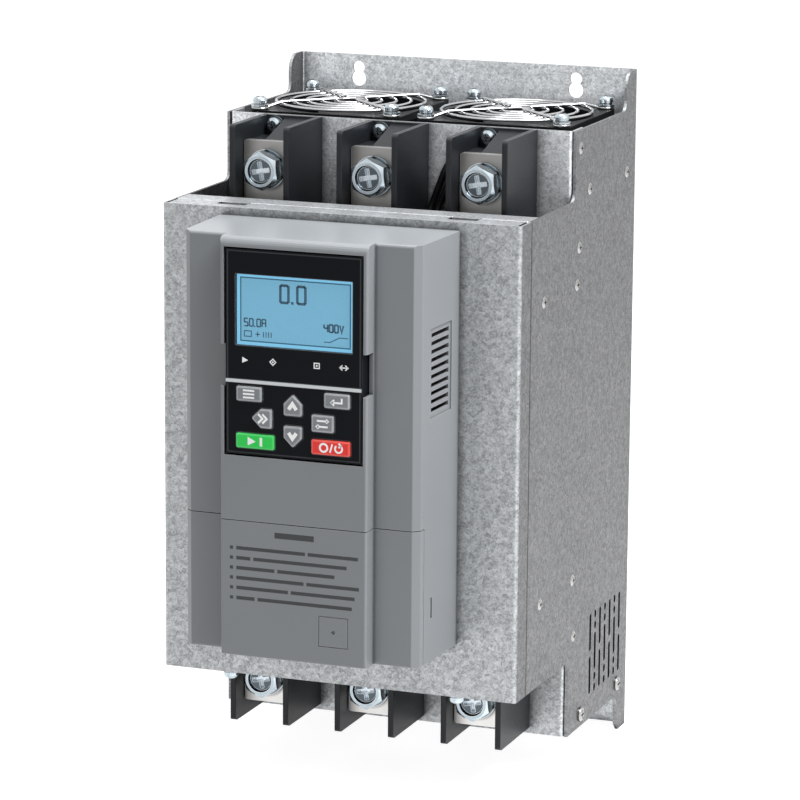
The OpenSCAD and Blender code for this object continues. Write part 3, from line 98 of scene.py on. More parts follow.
class SheetSettings(bpy.types.PropertyGroup):
    """Galvanised sheet."""

    bright: colour("Bright grains", "Colour of the lightest zinc grains", (0.625, 0.64, 0.655))
    dull: colour("Dull grains", "Colour of the darkest zinc grains", (0.23, 0.24, 0.25))
    grain: length("Grain size", "Width of the larger zinc grains", 0.0020)
    metal: share("Metallic", "How far the sheet reflects as bare metal", 0.7)


class PlasticSettings(bpy.types.PropertyGroup):
    """Moulded plastics."""

    housing: colour("Housing", "Grey of the front housing and its lower cover", (0.250, 0.266, 0.280))
    barrier: colour("Barriers", "Black of the terminal barriers", (0.008, 0.0095, 0.012))
    fan: colour("Fans", "Black of the fans", (0.005, 0.0055, 0.006))
    keypad: colour("Keypad", "Near-black of the keypad's face", (0.004, 0.005, 0.007))
    grain: length("Texture size", "Width of the moulded surface texture", 0.0006)


class KeySettings(bpy.types.PropertyGroup):
    """Keys and the marks on them."""

    grey: colour("Grey keys", "Colour of the six grey keys", (0.20, 0.215, 0.23))
    green: colour("Green key", "Colour of the start key", (0.008, 0.60, 0.07))
    red: colour("Red key", "Colour of the stop key", (0.80, 0.022, 0.016))
    mark: colour("Marks", "Colour of the marks", (0.98, 0.98, 0.98))
    stroke: length("Stroke", "Width of a mark's strokes", 0.0009)
    film: length("Film", "Thickness of the printed film", 0.00002)


class DisplaySettings(bpy.types.PropertyGroup):
    """Display."""

    field: colour("Field", "Colour of the lit field", (0.185, 0.43, 0.60))
    border: colour("Border", "Colour of the bright border", (0.24, 0.61, 0.88))
    figure: colour("Figures", "Colour of the dark figures", (0.05, 0.14, 0.22))
    glow: share("Glow", "Strength of the backlight", 0.85, 4)


class MetalSettings(bpy.types.PropertyGroup):
    """Plated and bare metal parts."""

    zinc: colour("Zinc", "Blue-white plating of the fasteners", (0.40, 0.46, 0.50))
    nickel: colour("Nickel", "Warm plating of the screws in the sides", (0.32, 0.313, 0.300))
    tin: colour("Tin", "Dull plating of the terminal bars", (0.80, 0.79, 0.77))
    fin: colour("Aluminium", "Extruded heat sink", (0.66, 0.67, 0.68))
    wire: colour("Wire", "Bright plating of the fan guards", (0.66, 0.67, 0.68))


class StageSettings(bpy.types.PropertyGroup):
    """Camera, lamps and floor."""

    azimuth: angle("Azimuth", "Turn of the camera to the right", 20.6)
    elevation: angle("Elevation", "Height angle of the camera", 11.95)
    roll: angle("Roll", "Turn of the camera about its own axis", 0.4)
    distance: length("Distance", "Distance of the camera from its target", 2.01446)
    lens: bpy.props.FloatProperty(
        name="Lens", description="Focal length on a 36 mm sensor", default=178.35, min=1, unit="CAMERA")
    key: power("Side lamp", "Power of the lamp at the upper right, in watts", 50)
    top: power("Top lamp", "Power of the lamp overhead, in watts", 12)
    ambient: share("Ambient", "Strength of the light from all round", 0.38, 4)


SETTINGS = {
    "starter_sheet": SheetSettings,
    "starter_plastic": PlasticSettings,
    "starter_keys": KeySettings,
    "starter_display": DisplaySettings,
    "starter_metal": MetalSettings,
    "starter_stage": StageSettings,
}


# Shader building blocks


def node(tree, kind, **values):
    """Adds a node; values set its properties, or its inputs where the key is an input's name."""
    made = tree.nodes.new(kind)
    for key, value in values.items():
        if hasattr(made, key):
            setattr(made, key, value)
        else:
            made.inputs[key.replace("_", " ").title()].default_value = value
    return made


def feed(tree, socket, value):
    """Links another socket to a socket, or sets it to a number or to three colour values."""
    if isinstance(value, bpy.types.NodeSocket):
        tree.links.new(value, socket)
    elif isinstance(value, (int, float)):
        socket.default_value = value
    else:
        socket.default_value = (*value, 1)


def math_node(tree, operation, *values, clamp=False):
    """Adds a Math node on one to three sockets or numbers and returns its output."""
    made = tree.nodes.new("ShaderNodeMath")
    made.operation = operation
    made.use_clamp = clamp
    for socket, value in zip(made.inputs, values):
        feed(tree, socket, value)
    return made.outputs[0]


def mix_colour(tree, factor, first, second):
    """Mixes two colours, each a socket or three numbers, and returns the result."""
    made = tree.nodes.new("ShaderNodeMix")
    made.data_type = "RGBA"
    for socket, value in zip((made.inputs[0], made.inputs[6], made.inputs[7]), (factor, first, second)):
        feed(tree, socket, value)
    return made.outputs[2]


def spread(tree, value, low, high):
    """Maps a socket's value from 0..1 to low..high, each a number or a socket."""
    made = tree.nodes.new("ShaderNodeMapRange")
    for label, given in (("Value", value), ("To Min", low), ("To Max", high)):
        feed(tree, made.inputs[label], given)
    return made.outputs["Result"]


def shader_group(name, inputs, outputs):
    """Empty shader node group with named sockets: its tree, its inputs and its outputs."""
    tree = bpy.data.node_groups.new(name, "ShaderNodeTree")
    for label, kind, default in inputs:
        tree.interface.new_socket(label, in_out="INPUT", socket_type=kind).default_value = default
    for label, kind in outputs:
        tree.interface.new_socket(label, in_out="OUTPUT", socket_type=kind)
    return tree, tree.nodes.new("NodeGroupInput").outputs, tree.nodes.new("NodeGroupOutput").inputs


def object_place(tree):
    """Object coordinates of the shaded point, as one socket."""
    return node(tree, "ShaderNodeTexCoord").outputs["Object"]


def place_of(tree):
    """Object coordinates of the shaded point, as sockets X, Y and Z."""
    made = tree.nodes.new("ShaderNodeSeparateXYZ")
    tree.links.new(object_place(tree), made.inputs[0])
    return made.outputs


def noise(tree, place, scale, detail=2.0):
    """Noise at a place, its scale a number or a socket: the outputs, of which the first is its value."""
    made = node(tree, "ShaderNodeTexNoise", detail=detail)
    tree.links.new(place, made.inputs["Vector"])
    feed(tree, made.inputs["Scale"], scale)
    return made.outputs


def spangle_group():
    """Zinc grains: cells of two sizes, bent by noise, each with its own tone, and soft cloudy blotches."""
    bend_reach, finer, cloud_scale = 0.0006, 2.7, 28.0
    fine_share, coarse_share, cloud_share = 0.48, 0.40, 0.12
    dull_roughness, bright_roughness = 0.52, 0.34
    tree, given, put = shader_group(
        "zinc_grains",
        [("Scale", "NodeSocketFloat", 240.0), ("Bright", "NodeSocketColor", (1, 1, 1, 1)),
         ("Dull", "NodeSocketColor", (0, 0, 0, 1))],
        [("Color", "NodeSocketColor"), ("Roughness", "NodeSocketFloat"), ("Height", "NodeSocketFloat")])
    link = tree.links.new
    place = object_place(tree)
    bent = node(tree, "ShaderNodeVectorMath", operation="MULTIPLY_ADD")
    link(noise(tree, place, given["Scale"])["Color"], bent.inputs[0])
    bent.inputs[1].default_value = (bend_reach,) * 3
    link(place, bent.inputs[2])
    tones = []
    for times in (1.0, finer):
        cells = node(tree, "ShaderNodeTexVoronoi")
        link(bent.outputs[0], cells.inputs["Vector"])
        link(math_node(tree, "MULTIPLY", given["Scale"], times), cells.inputs["Scale"])
        tone = node(tree, "ShaderNodeSeparateColor")
        link(cells.outputs["Color"], tone.inputs[0])
        tones.append(tone.outputs[0])
    cloud = noise(tree, place, cloud_scale, detail=3.0)[0]
    fine = math_node(tree, "MULTIPLY", tones[1], fine_share)
    grains = math_node(tree, "MULTIPLY_ADD", tones[0], coarse_share, fine)
    value = math_node(tree, "MULTIPLY_ADD", cloud, cloud_share, grains)
    link(mix_colour(tree, value, given["Dull"], given["Bright"]), put["Color"])
    link(spread(tree, value, dull_roughness, bright_roughness), put["Roughness"])
    link(value, put["Height"])
    return tree


def texture_group():
    """Moulded texture: fine bumps, with a slow drift of the tone over the part."""
    drift_scale, darkest, lightest, unevenness = 14.0, 0.94, 1.06, 0.06
    tree, given, put = shader_group(
        "moulded_texture",
        [("Scale", "NodeSocketFloat", 1600.0), ("Color", "NodeSocketColor", (0.5, 0.5, 0.5, 1)),
         ("Roughness", "NodeSocketFloat", 0.5)],
        [("Color", "NodeSocketColor"), ("Roughness", "NodeSocketFloat"), ("Height", "NodeSocketFloat")])
    link = tree.links.new
    place = object_place(tree)
    fine = noise(tree, place, given["Scale"])[0]
    drift = noise(tree, place, drift_scale, detail=1.0)[0]
    shade = node(tree, "ShaderNodeHueSaturation")
    link(given["Color"], shade.inputs["Color"])
    link(spread(tree, drift, darkest, lightest), shade.inputs["Value"])
    link(shade.outputs[0], put["Color"])
    uneven = spread(tree, fine, -unevenness, unevenness)
    link(math_node(tree, "ADD", uneven, given["Roughness"], clamp=True), put["Roughness"])
    link(fine, put["Height"])
    return tree


# Places in the folded chassis, in metres: how far from the middle the side panels' cut edges begin, how far
# out the duct and its slots reach, the duct's limits for the painted shade inside it, and the tone of the
# painted shadow on sides in front of the seam
CUT_EDGE_FROM = 0.0914
SLOT_REACH = 0.09285
DUCT = (("Y", -0.0985, -0.0008), ("Z", -0.1539, 0.128))
SEAM_SHADE = 0.35


def shade_group():
    """Painted light and shade: tone by direction and shelter.

    One factor to the front and one sideways paint light and shade by the way a surface faces. Fold changes
    the tone where the normal lies between two axes, a painted highlight along folds where it is positive. It
    is darker, as painted shade, where the place is sheltered, lies in the air duct or its slots, is the cut
    edge of a side panel, or faces sideways in front of the seam.
    """
    shelter_power, fold_scale = 1.5, 2.0
    tree, given, put = shader_group(
        "painted_light_and_shade",
        [("Color", "NodeSocketColor", (0.5, 0.5, 0.5, 1)), ("Face", "NodeSocketFloat", 1.0),
         ("Flank", "NodeSocketFloat", 1.0), ("Reach", "NodeSocketFloat", 0.005),
         ("Fold", "NodeSocketFloat", 0.0), ("Duct", "NodeSocketFloat", 1.0),
         ("Rim", "NodeSocketFloat", 1.0), ("Seam", "NodeSocketFloat", -1.0)],
        [("Color", "NodeSocketColor")])
    link = tree.links.new
    turned = node(tree, "ShaderNodeSeparateXYZ")
    link(node(tree, "ShaderNodeTexCoord").outputs["Normal"], turned.inputs[0])
    size = {axis: math_node(tree, "ABSOLUTE", turned.outputs[axis]) for axis in "XYZ"}
    at = place_of(tree)
    across = math_node(tree, "ABSOLUTE", at["X"])
    # Painted shadow on sides in front of the seam
    seamed = spread(tree, math_node(tree, "LESS_THAN", at["Y"], given["Seam"]), 1.0, SEAM_SHADE)
    flank = math_node(tree, "MULTIPLY", size["X"], math_node(tree, "MULTIPLY", given["Flank"], seamed))
    ahead = spread(tree, math_node(tree, "LESS_THAN", turned.outputs["Y"], 0.0), 1.0, given["Face"])
    front = math_node(tree, "MULTIPLY_ADD", size["Y"], ahead, size["Z"])
    cut = spread(tree, math_node(tree, "GREATER_THAN", across, CUT_EDGE_FROM), 1.0, given["Rim"])
    tone = math_node(tree, "MULTIPLY_ADD", front, cut, flank)
    # Painted shade in corners and hollows, by ambient occlusion
    shelter = node(tree, "ShaderNodeAmbientOcclusion", samples=6)
    link(given["Reach"], shelter.inputs["Distance"])
    openness = math_node(tree, "POWER", shelter.outputs["AO"], shelter_power)
    # Painted highlight along folds
    leans = [math_node(tree, "MULTIPLY", size["Y"], size[axis]) for axis in "XZ"]
    fold = math_node(tree, "MULTIPLY", math_node(tree, "MAXIMUM", *leans), fold_scale, clamp=True)
    lit = math_node(tree, "MULTIPLY_ADD", fold, given["Fold"], 1.0)
    # Painted shade inside the air duct and its slots
    inside = math_node(tree, "LESS_THAN", across, SLOT_REACH)
    for axis, low, high in DUCT:
        within = math_node(tree, "COMPARE", at[axis], (low + high) / 2, (high - low) / 2)
        inside = math_node(tree, "MULTIPLY", inside, within)
    lit = math_node(tree, "MULTIPLY", lit, spread(tree, inside, 1.0, given["Duct"]))
    scaled = node(tree, "ShaderNodeVectorMath", operation="SCALE")
    link(given["Color"], scaled.inputs[0])
    shaded = math_node(tree, "MULTIPLY", tone, openness)
    link(math_node(tree, "MULTIPLY", shaded, lit), scaled.inputs["Scale"])
    link(scaled.outputs[0], put["Color"])
    return tree


def edge_highlight_group():
    """Painted edge highlights: how far the rounded normal leans from the true one, times patchy noise."""
    sharpness, patch_scale, least, most = 5.0, 90.0, 0.3, 1.2
    tree, given, put = shader_group(
        "painted_edge_highlights",
        [("Radius", "NodeSocketFloat", 0.0006), ("Color", "NodeSocketColor", (0.5, 0.5, 0.5, 1)),
         ("Edge", "NodeSocketColor", (1, 1, 1, 1)), ("Amount", "NodeSocketFloat", 0.6)],
        [("Color", "NodeSocketColor")])
    link = tree.links.new
    rounded = node(tree, "ShaderNodeBevel", samples=6)
    link(given["Radius"], rounded.inputs["Radius"])
    lean = node(tree, "ShaderNodeVectorMath", operation="DOT_PRODUCT")
    link(rounded.outputs[0], lean.inputs[0])
    link(node(tree, "ShaderNodeNewGeometry").outputs["Normal"], lean.inputs[1])
    edge = math_node(tree, "SUBTRACT", 1.0, lean.outputs["Value"])
    sharp = math_node(tree, "MULTIPLY", edge, sharpness, clamp=True)
    patch = noise(tree, object_place(tree), patch_scale, detail=3.0)[0]
    patchy_highlight = math_node(tree, "MULTIPLY", sharp, spread(tree, patch, least, most))
    mask = math_node(tree, "MULTIPLY", patchy_highlight, given["Amount"], clamp=True)
    link(mix_colour(tree, mask, given["Color"], given["Edge"]), put["Color"])
    return tree


GROUPS = {
    "zinc_grains": spangle_group,
    "moulded_texture": texture_group,
    "painted_light_and_shade": shade_group,
    "painted_edge_highlights": edge_highlight_group,
}


def use_group(tree, name, **values):
    """Places a node group, built on first use, and sets its inputs from numbers, colours or sockets."""
    placed = tree.nodes.new("ShaderNodeGroup")
    placed.node_tree = bpy.data.node_groups.get(name) or GROUPS[name]()
    for key, value in values.items():
        feed(tree, placed.inputs[key.title()], value)
    return placed.outputs


def material(name, **values):
    """Material with a Principled shader, whose inputs are set from values: it, its tree and the shader."""
    made = bpy.data.materials.new(name)
    made.use_nodes = True
    shader = made.node_tree.nodes["Principled BSDF"]
    for key, value in values.items():
        shader.inputs[key.replace("_", " ").title().replace("Ior", "IOR")].default_value = value
    return made, made.node_tree, shader


def bump(tree, shader, height, distance):
    """Lets a height roughen the shader's normal."""
    made = node(tree, "ShaderNodeBump", distance=distance)
    tree.links.new(height, made.inputs["Height"])
    tree.links.new(made.outputs[0], shader.inputs["Normal"])


def galvanised(name, face=1.0, flank=1.0, rim=1.0, seam=-1.0):
    """Galvanised sheet: zinc grains, with painted highlights along folds and edges and painted shade in slots
    and corners.

    face and flank scale the tone of sheet that faces forwards and sideways, as painted light and shade,
    and rim that of the side panels' cut edges. Sides in front of the seam get a painted shadow, and the
    inside of the air duct painted shade.
    """
    sheet = bpy.context.scene.starter_sheet
    made, tree, shader = material(name, metallic=sheet.metal, specular_ior_level=0.25)
    grains = use_group(tree, "zinc_grains", scale=1 / sheet.grain, bright=sheet.bright, dull=sheet.dull)
    highlighted = use_group(tree, "painted_edge_highlights", radius=0.0005, color=grains["Color"],
                       edge=(0.70, 0.71, 0.72), amount=0.25)
    shaded = use_group(tree, "painted_light_and_shade", color=highlighted["Color"], face=face, flank=flank,
                       fold=0.2, duct=0.05, rim=rim, seam=seam)
    tree.links.new(shaded["Color"], shader.inputs["Base Color"])
    tree.links.new(grains["Roughness"], shader.inputs["Roughness"])
    bump(tree, shader, grains["Height"], distance=0.00006)
    return made


def moulded(name, tone, roughness, scale, depth, highlight, edge, gloss=0.5, rim=0.0005, turned=None):
    """Moulded plastic: fine texture, with painted highlights on edges rim wide; gloss sets how far it
    mirrors.

    turned holds factors of the tone to the front and sideways, as painted light and shade, and then corners
    get painted shade too. Where the normal lies between two axes both factors add up, and level_fold takes
    that back.
    """
    level_fold = -0.29
    made, tree, shader = material(name, specular_ior_level=gloss)
    skin = use_group(tree, "moulded_texture", scale=scale, color=tone, roughness=roughness)
    toned = skin["Color"]
    if turned:
        toned = use_group(tree, "painted_light_and_shade", color=toned, face=turned[0], flank=turned[1],
                          reach=0.002, fold=level_fold)["Color"]
    highlighted = use_group(tree, "painted_edge_highlights", radius=rim, color=toned, edge=edge, amount=highlight)
    tree.links.new(highlighted["Color"], shader.inputs["Base Color"])
    tree.links.new(skin["Roughness"], shader.inputs["Roughness"])
    bump(tree, shader, skin["Height"], depth)
    return made


def plated(name, tone, low, high, scale, stretch=(1, 1, 1), depth=0.00002, highlight=0.0, patch=None):
    """Plated or drawn metal: streaky noise moves tone and gloss, stretch draws it out, and the edge amount
    adds painted highlights on edges and painted shade in corners.

    patch adds nodes for a mask and returns it with the tone that the masked places take.
    """
    made, tree, shader = material(name, metallic=1.0)
    place = node(tree, "ShaderNodeMapping")
    place.inputs["Scale"].default_value = stretch
    tree.links.new(object_place(tree), place.inputs["Vector"])
    streak = noise(tree, place.outputs[0], scale, detail=4.0)[0]
    dull_share = 0.72
    dull = [part * dull_share for part in tone]
    mixed = mix_colour(tree, streak, dull, tone)
    if highlight:
        mixed = use_group(tree, "painted_light_and_shade", color=mixed, reach=0.002)["Color"]
    if patch:
        mask, other = patch(tree)
        mixed = mix_colour(tree, mask, mixed, other)
    if highlight:
        mixed = use_group(tree, "painted_edge_highlights", radius=0.0007, color=mixed, edge=(0.88, 0.92, 0.95),
                          amount=highlight)["Color"]
    tree.links.new(mixed, shader.inputs["Base Color"])
    tree.links.new(spread(tree, streak, high, low), shader.inputs["Roughness"])
    bump(tree, shader, streak, depth)
    return made


def printed_ink(name, tone, roughness):
    """Matt ink, whose tone drifts a little."""
    made, tree, shader = material(name, roughness=roughness)
    skin = use_group(tree, "moulded_texture", color=tone, roughness=roughness)
    tree.links.new(skin["Color"], shader.inputs["Base Color"])
    return made


def inset_of(tree, place, name):
    """How far a place lies inside a node's outline in the front plane: the least way to its box's sides."""
    low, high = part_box(name)
    inside = []
    for axis, a, b in (("X", low.x, high.x), ("Z", low.z, high.z)):
        away = math_node(tree, "ABSOLUTE", math_node(tree, "SUBTRACT", place[axis], (a + b) / 2))
        inside.append(math_node(tree, "SUBTRACT", (b - a) / 2, away))
    return math_node(tree, "MINIMUM", *inside)


def seen_directly(tree):
    """1 for rays from the camera, from mirroring surfaces and through glass, and 0 for other light."""
    seen = node(tree, "ShaderNodeLightPath").outputs
    mirrored = math_node(tree, "MAXIMUM", seen["Is Glossy Ray"], seen["Is Transmission Ray"])
    return math_node(tree, "MAXIMUM", seen["Is Camera Ray"], mirrored)


def finish_nodes(made, *names):
    """Gives CAD nodes a material."""
    for name in names:
        data = NODES[name].data
        data.materials.clear()
        data.materials.append(made)


def numbered(stem):
    """Names of a group of three like nodes."""
    return [f"{stem}_{i}" for i in (1, 2, 3)]


# Printed marks


def band(path, widths, depth, film):
    """Flat-topped stroke carried along a path of (x, z) points in the front plane.

    At each point the stroke reaches half its width to either side, along the direction that halves the
    bend, stretched by 1/cos of half the bend so that its width stays. Its back lies at a depth in front
    of the wall and its face stands a film's thickness before that. Returns a grid, points by four corners.
    """
    least_cosine = 0.45
    p = np.asarray(path, float)
    closed = np.allclose(p[0], p[-1])
    step = np.diff(p, axis=0)
    step /= np.linalg.norm(step, axis=1, keepdims=True)
    before = np.vstack([step[-1:] if closed else step[:1], step])
    after = np.vstack([step, step[:1] if closed else step[-1:]])
    along = before + after
    along /= np.linalg.norm(along, axis=1, keepdims=True)
    reach = np.broadcast_to(widths, len(p)) / 2 / np.clip((along * before).sum(1), least_cosine, 1)
    side = np.stack([-along[:, 1], along[:, 0]], 1) * reach[:, None]
    flat = np.stack([p + side, p + side, p - side, p - side], 1)
    y = np.broadcast_to(-depth - film * np.array([0, 1, 1, 0]), flat.shape[:2])
    return np.stack([flat[..., 0], y, flat[..., 1]], -1)


def add_object(name, data):
    """Object of that name, in the scene."""
    made = bpy.data.objects.new(name, data)
    bpy.context.scene.collection.objects.link(made)
    return made


def add_mesh(name, points, faces, finish):
    """Mesh object of one material, in the scene."""
    mesh = bpy.data.meshes.new(name)
    mesh.from_pydata(points, [], faces)
    mesh.materials.append(finish)
    return add_object(name, mesh)


def swept_piece(name, grids, finish, body):
    """One mesh from grids of sections: each is closed round its sections and capped at open ends."""
    points, faces, first = [], [], 0
    for grid in grids:
        n, corners = grid.shape[:2]
        index = first + np.arange(n * corners).reshape(n, corners)
        a, b = index[:-1], index[1:]
        faces += np.stack([a, np.roll(a, -1, 1), np.roll(b, -1, 1), b], -1).reshape(-1, 4).tolist()
        if not np.allclose(grid[0], grid[-1]):
            faces += [index[0, ::-1].tolist(), index[-1].tolist()]
        points.append(grid.reshape(-1, 3))
        first += n * corners
    piece = add_mesh(name, np.vstack(points).tolist(), faces, finish)
    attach(piece, body)


def tube(points, radius, steps=8, corners=16):
    """Round lead through points given as (x, depth, z) in millimetres.

    Its middle line is a Catmull-Rom curve: on each span a cubic whose slope at a point is half the step
    between that point's neighbours. A circle lies square to the line at each step, and its start direction
    is the last one less its part along the line. Returns a grid, steps by points round the circle.
    """
    p = np.asarray(points, float) * (1, -1, 1) * MM
    p = np.vstack([2 * p[0] - p[1], p, 2 * p[-1] - p[-2]])
    t = np.linspace(0, 1, steps, endpoint=False)[:, None]
    spans = []
    for a, b, c, d in zip(p, p[1:], p[2:], p[3:]):
        square, cube = 2 * a - 5 * b + 4 * c - d, 3 * b - a - 3 * c + d
        spans.append(0.5 * (2 * b + (c - a) * t + square * t ** 2 + cube * t ** 3))
    line = np.vstack([*spans, p[-2:-1]])
    along = np.gradient(line, axis=0)
    along /= np.linalg.norm(along, axis=1, keepdims=True)
    side, sides = np.array([0.3, 0.1, 1.0]), []
    for direction in along:
        side = side - direction * (side @ direction)
        side /= np.linalg.norm(side)
        sides.append(side)
    turn = np.linspace(0, 2 * np.pi, corners, endpoint=False)[:, None]
    sides = np.array(sides)[:, None]
    across = np.cross(along[:, None], sides)
    return line[:, None] + radius * MM * (np.cos(turn) * sides + np.sin(turn) * across)


def ring(radius, start=0, sweep=360, count=28):
    """Points of an arc round the origin, in degrees from +X, by cosine and sine."""
    turn = np.radians(np.linspace(start, start + sweep, count))
    return radius * np.stack([np.cos(turn), np.sin(turn)], 1)


# Width of a pointed stroke's tip in millimetres, the segments of a figure one wide and two high, and the
# segments of each figure
TIP = 0.06
SEGMENTS = {
    "a": ((0, 2), (1, 2)), "b": ((1, 2), (1, 1)), "c": ((1, 1), (1, 0)), "d": ((0, 0), (1, 0)),
    "e": ((0, 1), (0, 0)), "f": ((0, 2), (0, 1)), "g": ((0, 1), (1, 1)),
}
FIGURES = {"0": "abcdef", "4": "bcfg", "5": "acdfg", "A": "abcefg"}


def figure_strokes(text, x, z, height, stroke):
    """Strokes of figures built from straight segments, from (x, z) upwards, in millimetres.

    A figure is half as wide as it is high. A point is a short dot, and V two slanting strokes.
    """
    pitch, point_pitch, strokes = height * 0.74, 0.42, []
    for sign in text:
        if sign == ".":
            strokes.append(([(x, z - stroke / 2), (x, z + stroke / 2)], stroke))
            x += pitch * point_pitch
            continue
        if sign == "V":
            strokes.append(([(x, z + height), (x + height / 4, z), (x + height / 2, z + height)], stroke))
        for name in FIGURES.get(sign, ""):
            (x0, z0), (x1, z1) = np.array(SEGMENTS[name]) * height / 2
            strokes.append(([(x + x0, z + z0), (x + x1, z + z1)], stroke))
        x += pitch
    return strokes


def bands_of(strokes, depth, film, at=(0, 0)):
    """Stroke grids, in metres, from strokes in millimetres moved to a place."""
    return [band((np.asarray(path, float) + at) * MM, np.asarray(widths, float) * MM, depth, film)
            for path, widths in strokes]


def front_of(name):
    """Depth of a node's front face."""
    return -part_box(name)[0].y


def middle_of(name):
    """Middle of a node in the front plane, as (x, z) in millimetres."""
    low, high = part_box(name)
    return np.array([(low.x + high.x) / 2, (low.z + high.z) / 2]) / MM


# Operators


class STARTER_OT_sheet(bpy.types.Operator):
    """Galvanised finish on the chassis, the front cover and the inner sheet parts"""

    bl_idname = "starter.sheet"
    bl_label = "Sheet metal"

    def execute(self, context):
        # These copies of one sheet differ in painted light and shade: face and flank lighten or darken sheet
        # facing forwards and sideways, and seam_width sets a painted shadow on the chassis' sides along the
        # cover.
        seam_width = 1.5 * MM
        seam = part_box("front_cover")[1].y + seam_width
        finish_nodes(galvanised("galvanised_chassis", face=1.65, flank=0.30, rim=0.4, seam=seam), "chassis")
        finish_nodes(galvanised("galvanised_cover", face=0.89, flank=0.27),
                     "front_cover", "top_rail", "bottom_rail")
        finish_nodes(galvanised("galvanised_upper_sheet", face=1.65),
                     "line_plate", "fan_tray", "upper_crossbar")
        finish_nodes(galvanised("galvanised_lower_sheet", face=1.15),
                     "load_plate", "bottom_tray", "lower_crossbar")
        return {"FINISHED"}


class STARTER_OT_terminals(bpy.types.Operator):
    """Finishes of the power terminals, the barriers and all screws"""

    bl_idname = "starter.terminals"
    bl_label = "Terminals and screws"

    def execute(self, context):
        metal, plastic = context.scene.starter_metal, context.scene.starter_plastic
        # Edge amounts on plated parts add painted highlights on edges and painted shade in corners; the
        # barriers' edge colour is a painted highlight.
        bar = plated("tinned_bar", metal.tin, low=0.34, high=0.5, scale=60, stretch=(1, 1, 0.12), highlight=0.8,
                     patch=self.bar_top_shade)
        zinc = {"tone": metal.zinc, "low": 0.14, "high": 0.30, "scale": 420, "highlight": 0.9}
        bolt = plated("bolt_plating", patch=self.bolt_dish_shade, **zinc)
        screw = plated("zinc_plating", **zinc)
        nickel = plated("nickel_plating", metal.nickel, low=0.2, high=0.36, scale=420, highlight=0.8)
        finish_nodes(bar, *numbered("line_bar"), *numbered("load_bar"))
        finish_nodes(bolt, "terminal_bolts")
        finish_nodes(screw, "spring_washers", "flat_washers", "washer_screws", "module_screws", "fan_screws")
        finish_nodes(nickel, "side_screws", "tray_screws")
        black = moulded("barrier_plastic", plastic.barrier, roughness=0.42, scale=900, depth=0.00003, highlight=0.5,
                        edge=(0.10, 0.105, 0.11), gloss=0.3)
        finish_nodes(black, *numbered("line_barrier"), *numbered("load_barrier"))
        return {"FINISHED"}

    def bar_top_shade(self, tree):
        """Painted shade on the upper ends of the line bars: a mask that grows with height, and its tone."""
        low, high, tone = 0.116, 0.140, (0.30, 0.29, 0.28)
        rise = node(tree, "ShaderNodeMapRange", from_min=low, from_max=high)
        tree.links.new(place_of(tree)["Z"], rise.inputs["Value"])
        return rise.outputs["Result"], tone

    def bolt_dish_shade(self, tree):
        """Painted shade in the bolt heads' dishes, with painted highlights in their recesses: a mask and its
        tone.

        The mask lies within the dish's radius of an axis and behind the rim. The recess is deeper than the
        dish. Across, the axes lie one pitch apart. In height they lie equally far above and below the middle.
        """
        pitch, middle, apart = 0.057, 0.0015, 0.1304
        radius, sunk, floor = 0.0063, 0.00025, 0.00175
        # The dish tone is painted shade and the cross tone a painted highlight.
        dish, cross = (0.075, 0.092, 0.106), (0.50, 0.55, 0.59)
        at = place_of(tree)
        away = node(tree, "ShaderNodeCombineXYZ")
        tree.links.new(math_node(tree, "PINGPONG", at["X"], pitch / 2), away.inputs["X"])
        height = math_node(tree, "ABSOLUTE", math_node(tree, "SUBTRACT", at["Z"], middle))
        tree.links.new(math_node(tree, "SUBTRACT", height, apart), away.inputs["Z"])
        reach = node(tree, "ShaderNodeVectorMath", operation="LENGTH")
        tree.links.new(away.outputs[0], reach.inputs[0])
        near = math_node(tree, "LESS_THAN", reach.outputs["Value"], radius)
        front = front_of("terminal_bolts")
        deep = math_node(tree, "GREATER_THAN", at["Y"], sunk - front)
        recess = math_node(tree, "GREATER_THAN", at["Y"], floor - front)
        return math_node(tree, "MULTIPLY", near, deep), mix_colour(tree, recess, dish, cross)


class STARTER_OT_cooling(bpy.types.Operator):
    """Finishes of the heat sink, the fans and their guards"""

    bl_idname = "starter.cooling"
    bl_label = "Cooling"

    def execute(self, context):
        metal, plastic = context.scene.starter_metal, context.scene.starter_plastic
        fins = plated("extruded_aluminium", metal.fin, low=0.38, high=0.55, scale=300, stretch=(1, 1, 0.04))
        wire = plated("guard_wire", metal.wire, low=0.1, high=0.24, scale=500)
        # The fans' edge colour is a painted highlight on their edges.
        black = moulded("fan_plastic", plastic.fan, roughness=0.42, scale=1200, depth=0.00002, highlight=0.3,
                        edge=(0.05, 0.052, 0.055), gloss=0.15)
        finish_nodes(fins, "heat_sink")
        finish_nodes(wire, "fan_guard_left", "fan_guard_right")
        finish_nodes(black, "fan_frame_left", "fan_frame_right", "fan_rotor_left", "fan_rotor_right")
        return {"FINISHED"}


class STARTER_OT_leads(bpy.types.Operator):
    """Two black leads from the right fan, through the upper plate and down to the trigger board"""

    bl_idname = "starter.leads"
    bl_label = "Fan leads"

    def execute(self, context):
        radius = 1.75
        sheath = moulded("lead_sheath", (0.006, 0.0065, 0.007), roughness=0.38, scale=700, depth=0.00002,
                         highlight=0.0, edge=(0.05, 0.05, 0.05), gloss=0.3)
        upper = [(34, 92.6, 141), (31, 96.5, 139.4), (30.5, 101, 138.9), (27.2, 104.6, 133.8),
                 (22.9, 105, 122.9), (19.2, 106, 112.1), (18.5, 112, 103), (20, 135, 96),
                 (27, 160, 94), (31, 170.5, 80), (31, 169, 60), (31, 164.6, 48.2)]
        lower = [(34, 92.6, 137), (31, 96.5, 135.6), (31, 101, 135), (30.2, 104.4, 130.4),
                 (27.3, 105, 123.2), (23, 106, 111.8), (22.6, 112, 102.4), (24.6, 135, 94),
                 (32, 160, 92), (36, 170.5, 80), (36, 169, 60), (36, 164.6, 48.2)]
        swept_piece("fan_leads", [tube(path, radius) for path in (upper, lower)], sheath, "frame")
        return {"FINISHED"}


